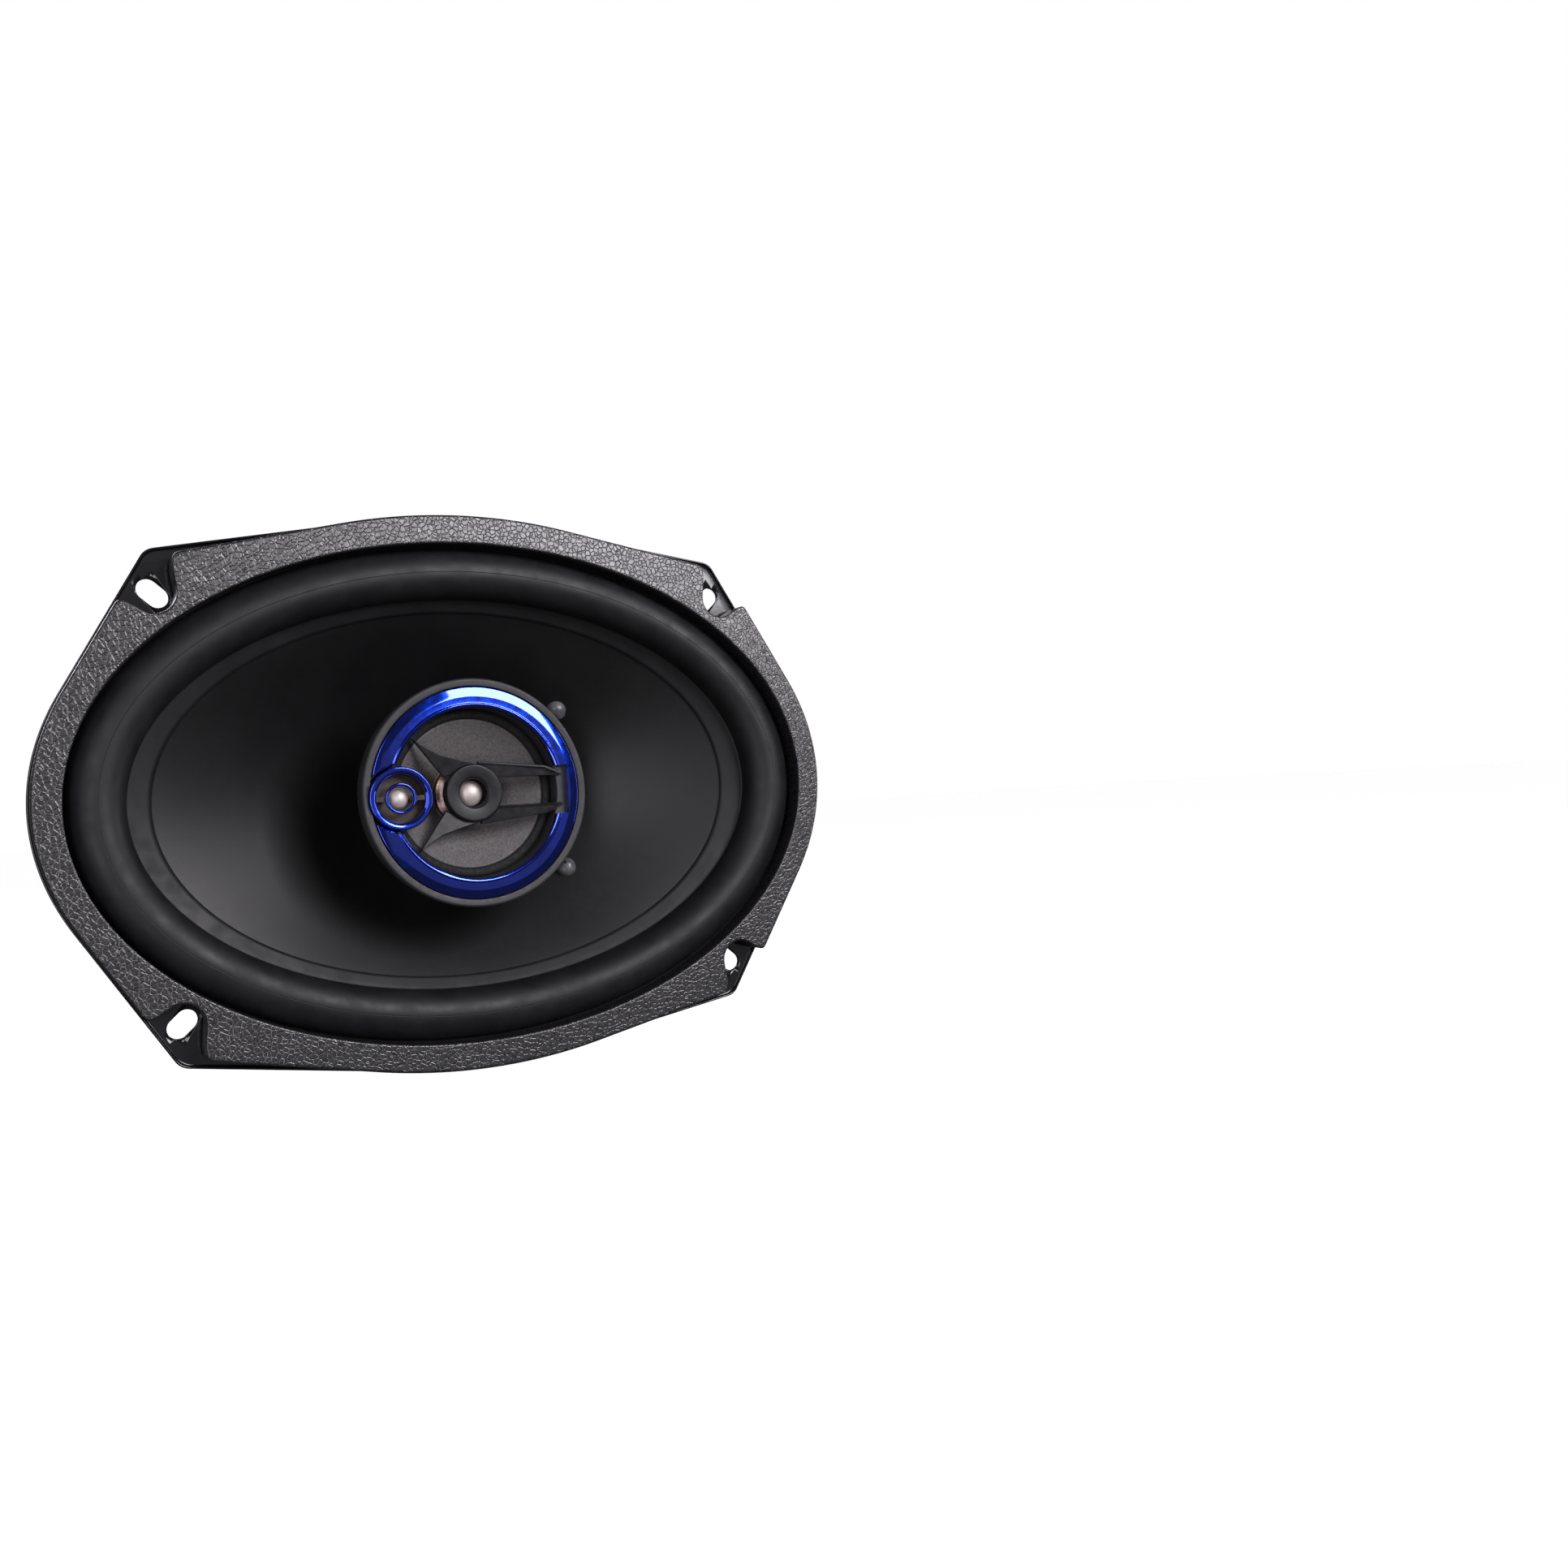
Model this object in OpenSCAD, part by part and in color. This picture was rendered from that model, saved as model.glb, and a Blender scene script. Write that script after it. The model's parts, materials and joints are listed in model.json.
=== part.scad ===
// Oval coaxial car loudspeaker, built as its separate pieces.
// Modelled with +Z towards the listener. facing() then puts the flange's mounting face on Y = 0,
// with the speaker standing upright and facing -Y.

/* [Flange] */
// Half length of the oval flange
flange_a = 117.6; // [116:0.1:119]
// Half height of the oval flange
flange_b = 82; // [81.5:0.1:83]
// Height of the flange's turned-up rim above its mounting face
rim_h = 2.2; // [1.8:0.1:3]
// Thickness of the pressed steel
sheet = 1.2; // [1:0.1:1.3]
// Half distance between the mounting slots along X
slot_x = 83.5; // [83:0.1:84]
// Half distance between the mounting slots along Y
slot_y = 58.6; // [58:0.1:59]
// Width of each mounting slot
slot_w = 5.8; // [5:0.1:6.2]
// Length of each mounting slot, end to end
slot_l = 9; // [8:0.1:10]
// Angle of the slots to the long axis
slot_turn = 42; // [35:1:50]

/* [Gasket and surround] */
// Height of the front gasket above the flange floor
gasket_h = 8.6; // [8.2:0.1:9]
// Half length of the gasket's opening
open_a = 109.5; // [109:0.1:110]
// Half height of the gasket's opening
open_b = 73.2; // [72.8:0.1:73.6]
// Rise of the surround's roll above its two feet
roll_h = 7.7; // [6:0.1:8]
// Thickness of the surround
roll_t = 0.8; // [0.5:0.1:1]

/* [Cone] */
// Half length of the cone at its glued edge
cone_a = 94.2; // [93.8:0.1:94.4]
// Half height of the cone at its glued edge
cone_b = 58.5; // [58.1:0.1:58.7]
// Height of the cone's edge in the modelling frame
cone_edge_z = -5.2; // [-5.6:0.1:-5]
// Height of the cone's neck in the modelling frame
cone_neck_z = -35.5; // [-36:0.1:-34.5]
// Thickness of the cone
cone_t = 0.8; // [0.5:0.1:0.9]

/* [Motor] */
// Outer radius of the voice coil former
former_r = 15.95; // [15.7:0.05:16]
// Radius of the ferrite ring magnet
magnet_r = 45; // [43:0.5:50]
// Thickness of the ferrite ring magnet
magnet_h = 16; // [14:0.5:20]
// Thickness of the front plate and of the yoke's disc
plate_h = 5; // [4:0.5:6]

/* [Midrange pod] */
// Outer radius of the bezel
bezel_r = 33.6; // [33:0.1:34]
// Height of the bezel's front in the modelling frame
bezel_z = 8.2; // [7.8:0.1:8.6]
// Outer radius of the blue trim ring
trim_r = 31.1; // [30.8:0.1:31.2]
// Inner radius of the blue trim ring
trim_in = 25.1; // [24.9:0.1:25.3]
// Outer radius of the midrange paper cone
mid_r = 22.4; // [22.2:0.1:22.5]
// Outer radius of the bridge's hub
hub_r = 8.6; // [8.2:0.1:9]
// Radius of the opening in the hub
hub_bore = 4.2; // [4.1:0.1:4.5]

/* [Super tweeter] */
// Distance of the super tweeter from the speaker's axis
super_x = 22.6; // [22.4:0.1:22.8]
// Outer radius of the super tweeter's blue ring
super_r = 9.15; // [9:0.05:9.2]

/* [Hidden] */
$fn = 96;

steps = 72;                        // corners of every oval
turn = 360 / steps;
flange_z = -3.5;                   // the flange's mounting face
flange_top = flange_z + sheet;     // its front face
flange_ear = [81.8, 65.9];         // centre of its round ear, and the ear's radius
flange_ear_r = 5;
rib_count = 8;                     // legs of the basket
window_span = 15.5;                // half width of a window, as an oval's angle
wall_top = [98.5, 62.6, -14.6];    // oval at the upper edge of the basket's slanting wall
wall_foot = [50, 50, -39];         // circle at its lower edge
pot_r = 41;                        // inside of the round pot under the spider
pot_z = -48;                       // floor of the pot
plate_z = pot_z - sheet;           // front face of the front plate
magnet_z = plate_z - plate_h;      // front face of the magnet
yoke_z = magnet_z - magnet_h;      // front face of the yoke's disc
yoke_back_z = yoke_z - plate_h;
pole_z = plate_z + 0.7;            // top of the pole
pole_r = 15.2;
gap_r = 17.2;                      // bore of the front plate
wall_slope = atan((wall_top.z - wall_foot.z) / (wall_top.x - wall_foot.x));
face_z = flange_top + gasket_h;    // front of the gasket
gasket_ear = [83.6, 63.5];         // centre of the gasket's round ear, and its radius without inset
gasket_ear_r = 5.3;
notch_r = 6.5;                     // round of the gasket's notch at a slot
pod_back_z = -17.5;
deck_z = 6.2;                      // seat of the trim ring
mid_z = 0.4;                       // seat of the midrange's surround
board_x = 66;                      // middle of the terminal board on the right-hand rib
board_front = -1.6;                // faces of the terminal board, from the inside of the rib
board_back = -3.2;
board_holes = [-8, 3];             // rivet holes along the terminal board
board_hole_r = 1.6;
plate_hole_ring = 30;              // circle of the rivets through basket and front plate
plate_hole_r = 2;
shank_r = 1.4;                     // eyelet's shank through the cone
glue_r = 2.8;                      // foot of the glue dome on an eyelet, and its rise
glue_h = 2.3;
lead_r = 0.55;                     // radius of every flexible lead
hub_front = 5;                     // front of the bridge's hub
eyelet_s = 0.46;                   // place of a lead eyelet on the cone: share of the way out
eyelet_turn = 45.4;                // and the oval's angle
spider_waves = 7;                  // corrugations of the spider
spider_steps = 84;                 // points along its section
fit = 0.05;                        // clearance of a glued or pressed fit

// Lead from an eyelet behind the cone to the terminal board
tinsel_path = [[37.3, 26, -23], [37.6, 25.6, -26], [39, 23.6, -28.2], [43.5, 20.4, -29.3],
               [49, 16.6, -30], [54.5, 13.2, -30.9], [59.2, 10.7, -32.2], [61.8, 9.6, -34.3]];
// Lead from an eyelet in front of the cone to the pod
pod_lead_path = [[35, 23.4, -17.5], [34.6, 23.2, -16.2], [33.6, 22.8, -15], [30.4, 20.4, -14],
                 [26.8, 17.8, -13.1], [22.9, 15.3, -12.7]];

// ---- shared shapes ----

// Turns the modelling frame into the standing frame
module facing() rotate([90, 0, 0]) translate([0, 0, -flange_z]) children();

module oval(a, b) polygon([for (i = [0:steps - 1]) [a * cos(i * turn), b * sin(i * turn)]]);

// Oval tube whose section is a closed loop of [half length, half height, z], anticlockwise
module oval_tube(section) {
    n = len(section);
    points = [for (s = section) for (i = [0:steps - 1]) [s.x * cos(i * turn), s.y * sin(i * turn), s.z]];
    faces = [for (k = [0:n - 1]) for (i = [0:steps - 1])
        let (up = (k + 1) % n, next = (i + 1) % steps)
        each [[k * steps + i, k * steps + next, up * steps + next],
              [k * steps + i, up * steps + next, up * steps + i]]];
    polyhedron(points, [for (f = faces) [f[0], f[2], f[1]]], convexity = 8);
}

// Outline of an oval with four round ears; side and top are the directions its two straights face
function eared_quarter(a, b, ear, r, side, top) =
    let (first = atan2(b * sin(side), a * cos(side)), last = atan2(b * sin(top), a * cos(top)))
    concat([for (i = [0:6]) let (t = first * i / 6) [a * cos(t), b * sin(t)]],
           [for (i = [0:6]) let (t = side + (top - side) * i / 6) [ear.x + r * cos(t), ear.y + r * sin(t)]],
           [for (i = [0:6]) let (t = last + (90 - last) * i / 6) [a * cos(t), b * sin(t)]]);
function flipped(points, sx, sy) =
    [for (i = [0:len(points) - 1])
        let (p = points[sx * sy > 0 ? i : len(points) - 1 - i]) [p.x * sx, p.y * sy]];
function without_last(points) = [for (i = [0:len(points) - 2]) points[i]];
function eared_oval(a, b, ear, r, side, top) =
    let (q = eared_quarter(a, b, ear, r, side, top))
    concat(without_last(q), without_last(flipped(q, -1, 1)),
           without_last(flipped(q, -1, -1)), without_last(flipped(q, 1, -1)));

module flange_outline(inset = 0)
    polygon(eared_oval(flange_a - inset, flange_b - inset, flange_ear, flange_ear_r - inset, 32.3, 81.8));

module each_corner() for (sx = [-1, 1], sy = [-1, 1]) scale([sx, sy, 1]) children();

module ring(inner, outer, low, high)
    translate([0, 0, low]) difference() {
        cylinder(r = outer, h = high - low);
        translate([0, 0, -1]) cylinder(r = inner, h = high - low + 2);
    }

module disc(r, low, high) translate([0, 0, low]) cylinder(r = r, h = high - low);

// Shell of a spherical cap: base radius, base height, rise and thickness
module dome(base, z, rise, thick) {
    ball = (base * base + rise * rise) / (2 * rise);
    half = asin(base / ball);
    rotate_extrude() translate([0, z + rise - ball]) polygon(concat(
        [for (i = [0:8]) let (t = half * i / 8) ball * [sin(t), cos(t)]],
        [for (i = [8:-1:0]) let (t = half * i / 8) (ball - thick) * [sin(t), cos(t)]]));
}

// Round tube swept along a path
module tube(path, r, sides = 8) {
    n = len(path);
    function along(i) = let (d = path[min(i + 1, n - 1)] - path[max(i - 1, 0)]) d / norm(d);
    points = [for (i = [0:n - 1]) let (d = along(i), u = cross(d, [0.3, 1, 0.2]), v = u / norm(u))
        for (k = [0:sides - 1]) let (t = k * 360 / sides) path[i] + r * (cos(t) * v + sin(t) * cross(d, v))];
    skin = [for (i = [0:n - 2]) for (k = [0:sides - 1]) let (next = (k + 1) % sides)
        each [[i * sides + k, (i + 1) * sides + next, i * sides + next],
              [i * sides + k, (i + 1) * sides + k, (i + 1) * sides + next]]];
    polyhedron(points, concat(skin, [[for (k = [0:sides - 1]) k]],
        [[for (k = [sides - 1:-1:0]) (n - 1) * sides + k]]));
}

// ---- basket ----

// Point of the slanting wall: share of the way up it, and the oval's angle
function wall_point(s, t) = [(wall_foot.x + (wall_top.x - wall_foot.x) * s) * cos(t),
                             (wall_foot.y + (wall_top.y - wall_foot.y) * s) * sin(t)];

module slot_hole() translate([slot_x, slot_y, flange_z - 1]) rotate(slot_turn) {
    half = (slot_l - slot_w) / 2;
    for (x = [-half, half]) translate([x, 0, 0]) cylinder(d = slot_w, h = rim_h + 2);
    translate([-half, -slot_w / 2, 0]) cube([2 * half, slot_w, rim_h + 2]);
}

module window(centre) translate([0, 0, wall_foot.z - 4]) linear_extrude(wall_top.z - wall_foot.z + 5)
    polygon(concat([for (i = [-4:4]) wall_point(0.86, centre + window_span * i / 4)],
                   [for (i = [4:-1:-4]) wall_point(0.16, centre + window_span * i / 4)]));

// Oval of the wall just under the flange: distance outside the gasket's opening, and height over the flange
function neck(out, up) = [open_a + out, open_b + out, flange_z + up];

module each_plate_hole() for (t = [45:90:315]) rotate(t) translate([plate_hole_ring, 0, 0]) children();

module basket() facing() color("#17181b") difference() {
    union() {
        translate([0, 0, flange_z]) {
            difference() {
                linear_extrude(sheet) difference() {
                    flange_outline();
                    oval(open_a - 0.8, open_b - 0.8);
                }
                translate([0, 0, -1]) linear_extrude(1.4) oval(open_a - 0.1, open_b - 0.1);
            }
            linear_extrude(rim_h) difference() {
                flange_outline();
                flange_outline(sheet);
            }
        }
        oval_tube([neck(-0.7, sheet / 2), neck(-0.7, -0.3), [106.4, 70, -7], [103.5, 67.1, -11],
                   wall_top, wall_foot, [46, 46, wall_foot.z], [46, 46, wall_foot.z - sheet],
                   wall_foot + [0.6, 0.6, -sheet], wall_top + [1, 1, -1.3],
                   [104.8, 68.4, -11.5], [107.6, 71.2, -7.4], neck(0.5, -0.3), neck(0.5, sheet / 2)]);
        rotate_extrude() polygon([[pot_r, wall_foot.z], [48, wall_foot.z], [48, wall_foot.z - sheet],
            [pot_r + sheet, wall_foot.z - sheet], [pot_r + sheet, plate_z], [19.5, plate_z],
            [19.5, pot_z], [pot_r, pot_z]]);
    }
    each_corner() slot_hole();
    for (k = [0:rib_count - 1]) window((k + 0.5) * 360 / rib_count);
    each_plate_hole() disc(plate_hole_r, pot_z - 3, pot_z + 1);
    on_board() for (x = board_holes) translate([x, 0, 0]) disc(board_hole_r, -4, 2);
}

module plate_rivets() facing() color("#8d9095") each_plate_hole() {
    disc(3.4, pot_z, pot_z + 1.2);
    disc(plate_hole_r - fit, magnet_z, pot_z);
}

// ---- gasket, surround and cone ----

module gasket_notch() {
    far = [flange_a + 8, flange_b + 8];
    translate([slot_x + 1.1, slot_y]) circle(r = notch_r);
    polygon([[79, slot_y], [79, far.y], far, [far.x, 56.2], [88, 56.2]]);
}

module gasket_outline(inset) offset(r = 1.4) offset(delta = -1.4) difference() {
    polygon(eared_oval(flange_a - inset, flange_b - inset, gasket_ear, gasket_ear_r - inset, 32.3, 78.3));
    each_corner() gasket_notch();
    oval(open_a, open_b);
}

// The lower part stands inside the flange's rim and the upper part covers the rim
module gasket() facing() color("#2a2b2e") difference() {
    over_rim = flange_z + rim_h + fit;
    union() {
        translate([0, 0, flange_top]) linear_extrude(rim_h + fit - sheet) gasket_outline(2);
        translate([0, 0, over_rim]) linear_extrude(face_z - over_rim) gasket_outline(0.6);
    }
    translate([0, 0, flange_top - 1]) linear_extrude(roll_t + 0.2 + 1) oval(open_a + 4.4, open_b + 4.4);
}

// Middle line of the surround from its outer lip over the roll to its glued inner lip
function roll_point(t) =
    let (outer = [open_a - 1, open_b - 1, flange_top + 0.2],
         inner = [cone_a + 0.2, cone_b + 0.2, cone_edge_z + 0.5])
    (outer + inner) / 2 + (outer - inner) / 2 * cos(t) + roll_h * sin(t) * [-0.22, -0.22, 0.95];
function surround_line(lift) = concat(
    [for (out = [3.8, -0.6]) [open_a + out, open_b + out, flange_top + 0.1 + lift]],
    [for (i = [1:8]) let (t = i * 20) roll_point(t) + lift * [cos(t), cos(t), sin(t)]],
    [[cone_a, cone_b, cone_edge_z + 0.1 + lift]],
    [for (s = [1, 0.91]) cone_point(s) + [0, 0, 0.12 + lift]]);
function reversed(list) = [for (i = [len(list) - 1:-1:0]) list[i]];

module surround() facing() color("#141415")
    oval_tube(concat(surround_line(roll_t), reversed(surround_line(0))));

// Front face of the cone: s runs from the neck to the edge
function cone_point(s) = [
    former_r + 0.12 + (cone_a - 0.4 - former_r) * s,
    former_r + 0.12 + (cone_b - 0.4 - former_r) * s,
    cone_neck_z + (cone_edge_z - cone_neck_z) * (1 - pow(1 - s, 1.1))];

function cone_at(s, t) = let (p = cone_point(s)) [p.x * cos(t), p.y * sin(t), p.z];

// Places its children on the cone at both lead eyelets, with +Z out of the cone's front face
module at_eyelets() {
    outward = cone_at(eyelet_s + 0.01, eyelet_turn) - cone_at(eyelet_s, eyelet_turn);
    around = cone_at(eyelet_s, eyelet_turn + 1) - cone_at(eyelet_s, eyelet_turn);
    normal = cross(outward, around);
    for (side = [-1, 1]) scale([1, side, 1]) translate(cone_at(eyelet_s, eyelet_turn))
        rotate([0, acos(normal.z / norm(normal)), atan2(normal.y, normal.x)]) children();
}

module cone() facing() color("#232427") difference() {
    oval_tube(concat([for (i = [8:-1:0]) cone_point(i / 8)],
                     [for (i = [0:8]) cone_point(i / 8) - [0, 0, cone_t]]));
    at_eyelets() disc(shank_r + fit, -2, 1);
}

module cone_eyelets() facing() color("#3a3b3d") at_eyelets() {
    disc(shank_r, -1.4, 0.6);
    disc(2.2, -1.8, -1);
    rotate_extrude() translate([0, 0.25]) polygon(concat([[0, 0]],
        [for (i = [0:8]) let (t = i * 90 / 8) [glue_r * cos(t), glue_h * sin(t)]]));
}

// ---- motor ----

module voice_coil_former() facing() color("#c9b98c") ring(former_r - 0.2, former_r, -61.5, -33);

module voice_coil() facing() color("#b06a3a") ring(former_r, former_r + 0.65, -56.7, -46.7);

// Middle height and radius of the spider's corrugated disc at step i of spider_steps
spider_in = former_r + 0.1;
spider_out = pot_r + 0.3;
function spider_height(i) = wall_foot.z + 0.55 * cos(360 * spider_waves * i / spider_steps);
function spider_place(i) = spider_in + (spider_out - spider_in) * i / spider_steps;

module spider() facing() color("#c8a35a") rotate_extrude() polygon(concat(
    [for (i = [0:spider_steps]) [spider_place(i), spider_height(i) + 0.25]],
    [[45, wall_foot.z + 0.8], [45, wall_foot.z + 0.1], [spider_out, wall_foot.z + 0.1]],
    [for (i = [spider_steps - 1:-1:0]) [spider_place(i), spider_height(i) - 0.25]]));

module front_plate() facing() color("#9a9da1") difference() {
    ring(gap_r, magnet_r - 1, magnet_z, plate_z);
    each_plate_hole() disc(plate_hole_r, magnet_z - 1, plate_z + 1);
}

module magnet() facing() color("#3b3b3e") ring(22, magnet_r, yoke_z, magnet_z);

module yoke() facing() color("#9a9da1") difference() {
    union() {
        disc(magnet_r - 2, yoke_back_z, yoke_z);
        disc(pole_r, yoke_z - 1, pole_z);
    }
    disc(2.2, yoke_back_z - 1, pole_z + 1);
}

module pod_post() facing() color("#1d1d1f") difference() {
    union() {
        disc(12.5, pole_z, pole_z + 2.5);
        disc(6.5, pole_z, pod_back_z);
        disc(3, pod_back_z - 1, pod_back_z + 1.6);
    }
    disc(2.05, pole_z - 1, -28);
}

module pod_bolt() facing() color("#b9bbbf") difference() {
    union() {
        disc(4, yoke_back_z - 3, yoke_back_z);
        disc(2, yoke_back_z, -29);
    }
    translate([0, 0, yoke_back_z - 4]) cylinder(r = 1.7, h = 3, $fn = 6);
}

// ---- midrange pod ----

module pod_cup() facing() color("#1d1d1f") rotate_extrude() polygon([[3 + fit, pod_back_z], [14, pod_back_z],
    [25, -15], [31, -8], [32.2, -1], [30.8, -1], [29.7, -7.3], [24.3, -13.4], [14, pod_back_z + 1.6],
    [3 + fit, pod_back_z + 1.6]]);

module super_place() translate([-super_x, -0.5, 0]) children();

module bezel() facing() color("#2c2d30") difference() {
    rotate_extrude() polygon([[trim_in, 0.9], [26.4, 0.9], [26.4, 4.6], [31.6, 4.6], [31.2, -1], [32.9, -1],
        [bezel_r, 7.4], [bezel_r - 0.8, bezel_z], [trim_r + 0.2, bezel_z], [trim_r + 0.2, deck_z],
        [trim_in, deck_z]]);
    super_place() disc(super_r + 0.35, 0, 12);
}

module trim_ring() facing() color("#1d3fc4") difference() {
    rotate_extrude() polygon([[trim_in, deck_z + fit], [trim_r, deck_z + fit], [trim_r, 8],
        [trim_r - 0.5, 8.4], [trim_in + 1.3, 8.6], [trim_in + 0.9, 8.9], [trim_in, 8.7]]);
    super_place() disc(10.2, 0, 12);
    translate([0, -7.5, 0]) cube([27.8, 14.5, 12]);
}

module mid_frame() facing() color("#1d1d1f") rotate_extrude() polygon([[10.6, -9], [14.2, -9], [25.2, -0.6],
    [27, -0.6], [27, mid_z], [24.6, mid_z], [13.7, -8], [10.6, -8]]);

module mid_yoke() facing() color("#9a9da1") rotate_extrude() polygon([[0, -15.9], [13.5, -15.9],
    [13.5, -9.05], [10.5, -9.05], [10.5, -14.3], [0, -14.3]]);

module mid_magnet() facing() color("#55565a") disc(8.4, -14.3, -11.3);

module mid_pole_plate() facing() color("#9a9da1") disc(9, -11.3, -9.3);

function half_roll(r) = [for (i = [0:10]) let (t = i * 18)
    [(mid_r + 24.8) / 2 + r * cos(t), mid_z + 0.5 + r * sin(t)]];

module mid_surround() facing() color("#161617") rotate_extrude() polygon(concat(
    [[26.4, mid_z + fit], [26.4, mid_z + 0.45]], half_roll(1.2),
    [[21.6, mid_z + 0.5], [21.6, mid_z + 0.15]], reversed(half_roll(0.8))));

module mid_cone() facing() color("#3a3a3c") rotate_extrude() polygon([[9.7, -6.9], [10.4, -6.9], [22, -0.1],
    [mid_r, -0.1], [mid_r, mid_z], [21.6, mid_z], [9.7, -6.2]]);

module mid_dome() facing() color("#b4aca4") dome(9.6, -6.05, 2.6, 0.3);

module mid_coil_former() facing() color("#c9b98c") ring(9.4, 9.6, -13.5, -6.3);

module mid_coil() facing() color("#b06a3a") ring(9.6, 10, -12.5, -9);

// One rail of the bridge, from the hub to its foot on the bezel's deck
module bridge_rail(side) {
    foot_z = deck_z + fit;
    module heel() translate([23.4, side > 0 ? 4.1 : -6.9, foot_z]) cube([0.6, 2.8, 1.9]);
    hull() {
        translate([2, side > 0 ? 4.1 : -9.4, 1.8]) cube([1, 5.3, 1.8]);
        heel();
    }
    hull() {
        heel();
        translate([26.2, side * 4.5 - 0.4, foot_z]) cube([0.4, 0.8, 1.3]);
    }
}

module bridge_blade(side) translate([0, 0, 2.6]) linear_extrude(1.4)
    polygon([[-17.3, side * 16.7], [-14.3, side * 14.4], [-9.6, side * 11.7], [-3.4, side * 9.9],
             [3, side * 8.2], [4, side * 4], [-6, side * 4.2], [-8.6, side * 5.1]]);

module bridge() facing() color("#1e1f21") difference() {
    union() {
        rotate_extrude() polygon([[0, 1.6], [hub_r, 1.6], [hub_r, hub_front - 0.6],
            [hub_r - 0.6, hub_front], [0, hub_front]]);
        for (side = [-1, 1]) {
            bridge_rail(side);
            bridge_blade(side);
        }
    }
    disc(hub_bore, 0, hub_front + 1);
}

module tweeter_body() facing() color("#1e1f21") difference() {
    disc(7.6, -2.2, 1.6);
    disc(hub_bore, -1.2, 3);
}

module tweeter_magnet() facing() color("#8d9095") disc(3.6, -1.2, 0);

module tweeter_dome() facing() color("#cfc9c4") dome(3.9, 0.1, 2.2, 0.25);

// ---- super tweeter ----

module super_tweeter_body() facing() color("#1a1a1c") super_place() difference() {
    union() {
        disc(8.9, 2.9, 7);
        disc(7.4, 2.9, 7.5);
    }
    difference() {
        disc(7.2, 3.7, 9);
        translate([-8, -0.7, 5.4]) cube([16, 1.4, 2]);
        disc(3.4, 2.9, 3.9);
    }
    disc(3.3, 3.9, 9);
}

module super_tweeter_ring() facing() color("#1d3fc4") super_place() rotate_extrude()
    polygon([[7.45, 7.05], [super_r, 7.05], [super_r, 8.1], [super_r - 0.4, 8.5], [7.8, 8.3], [7.45, 7.9]]);

module super_tweeter_inner_ring() facing() color("#1d3fc4") super_place() rotate_extrude()
    polygon([[3.5, 7.45], [4.5, 7.45], [4.5, 8], [4.2, 8.3], [3.7, 8.2], [3.5, 7.9]]);

module super_tweeter_dome() facing() color("#cfc9c4") super_place() dome(3.1, 4.1, 2.6, 0.3);

// ---- electrical pieces ----

module capacitors() facing() color("#20242c") for (side = [-1, 1])
    translate([-6, side * 21.5, -10.5]) rotate([0, 90, 0]) cylinder(d = 6.3, h = 12);

module both_sides(path) for (side = [-1, 1])
    tube([for (p = path) [p.x, p.y * side, p.z]], lead_r);

module tinsel_leads() facing() color("#b5863f") both_sides(tinsel_path);

module pod_leads() facing() color("#2b2b2d") both_sides(pod_lead_path);

// Places its children on the back of the right-hand rib
module on_board() translate([board_x, 0, wall_foot.z + (board_x - wall_foot.x) * tan(wall_slope)])
    rotate([0, -wall_slope, 0]) children();

module terminal_board() facing() color("#6b4a2a") on_board() difference() {
    translate([-15, -13, board_back]) cube([28, 26, board_front - board_back]);
    for (x = board_holes) translate([x, 0, 0]) disc(board_hole_r, -4, 0);
}

module board_rivets() facing() color("#8d9095") on_board() for (x = board_holes) translate([x, 0, 0]) {
    disc(board_hole_r - fit, board_back, 0.2);
    disc(2.8, board_back - 0.8, board_back);
    disc(2.6, 0.2, 1);
}

module spade(width) difference() {
    translate([-14, -width / 2, board_back - 0.8]) cube([35, width, 0.8]);
    translate([17, 0, board_back - 2]) cylinder(d = 1.4, h = 3);
}

module positive_terminal() facing() color("#c9a24a") on_board() translate([0, 8, 0]) spade(4.8);

module negative_terminal() facing() color("#c4c6c9") on_board() translate([0, -8, 0]) spade(2.8);

basket();
gasket();
surround();
cone();
voice_coil_former();
voice_coil();
spider();
front_plate();
magnet();
yoke();
plate_rivets();
pod_post();
pod_bolt();
pod_cup();
bezel();
trim_ring();
mid_frame();
mid_yoke();
mid_magnet();
mid_pole_plate();
mid_surround();
mid_cone();
mid_dome();
mid_coil_former();
mid_coil();
bridge();
tweeter_body();
tweeter_dome();
tweeter_magnet();
super_tweeter_body();
super_tweeter_ring();
super_tweeter_inner_ring();
super_tweeter_dome();
capacitors();
cone_eyelets();
tinsel_leads();
pod_leads();
terminal_board();
positive_terminal();
negative_terminal();
board_rivets();
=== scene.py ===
"""Oval coaxial car speaker, standing upright and firing towards -Y.

Shapes are written in the speaker's own frame, in millimetres: x along the long axis, y up and
z towards the listener. row() turns them into the shared frame, where the flange's mounting face
is at Y = 0.
"""
import json
from math import acos, asin, atan2, cos, hypot, pi, radians, sin

import bmesh
import bpy
import numpy as np
from mathutils import Matrix, Vector, noise


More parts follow.
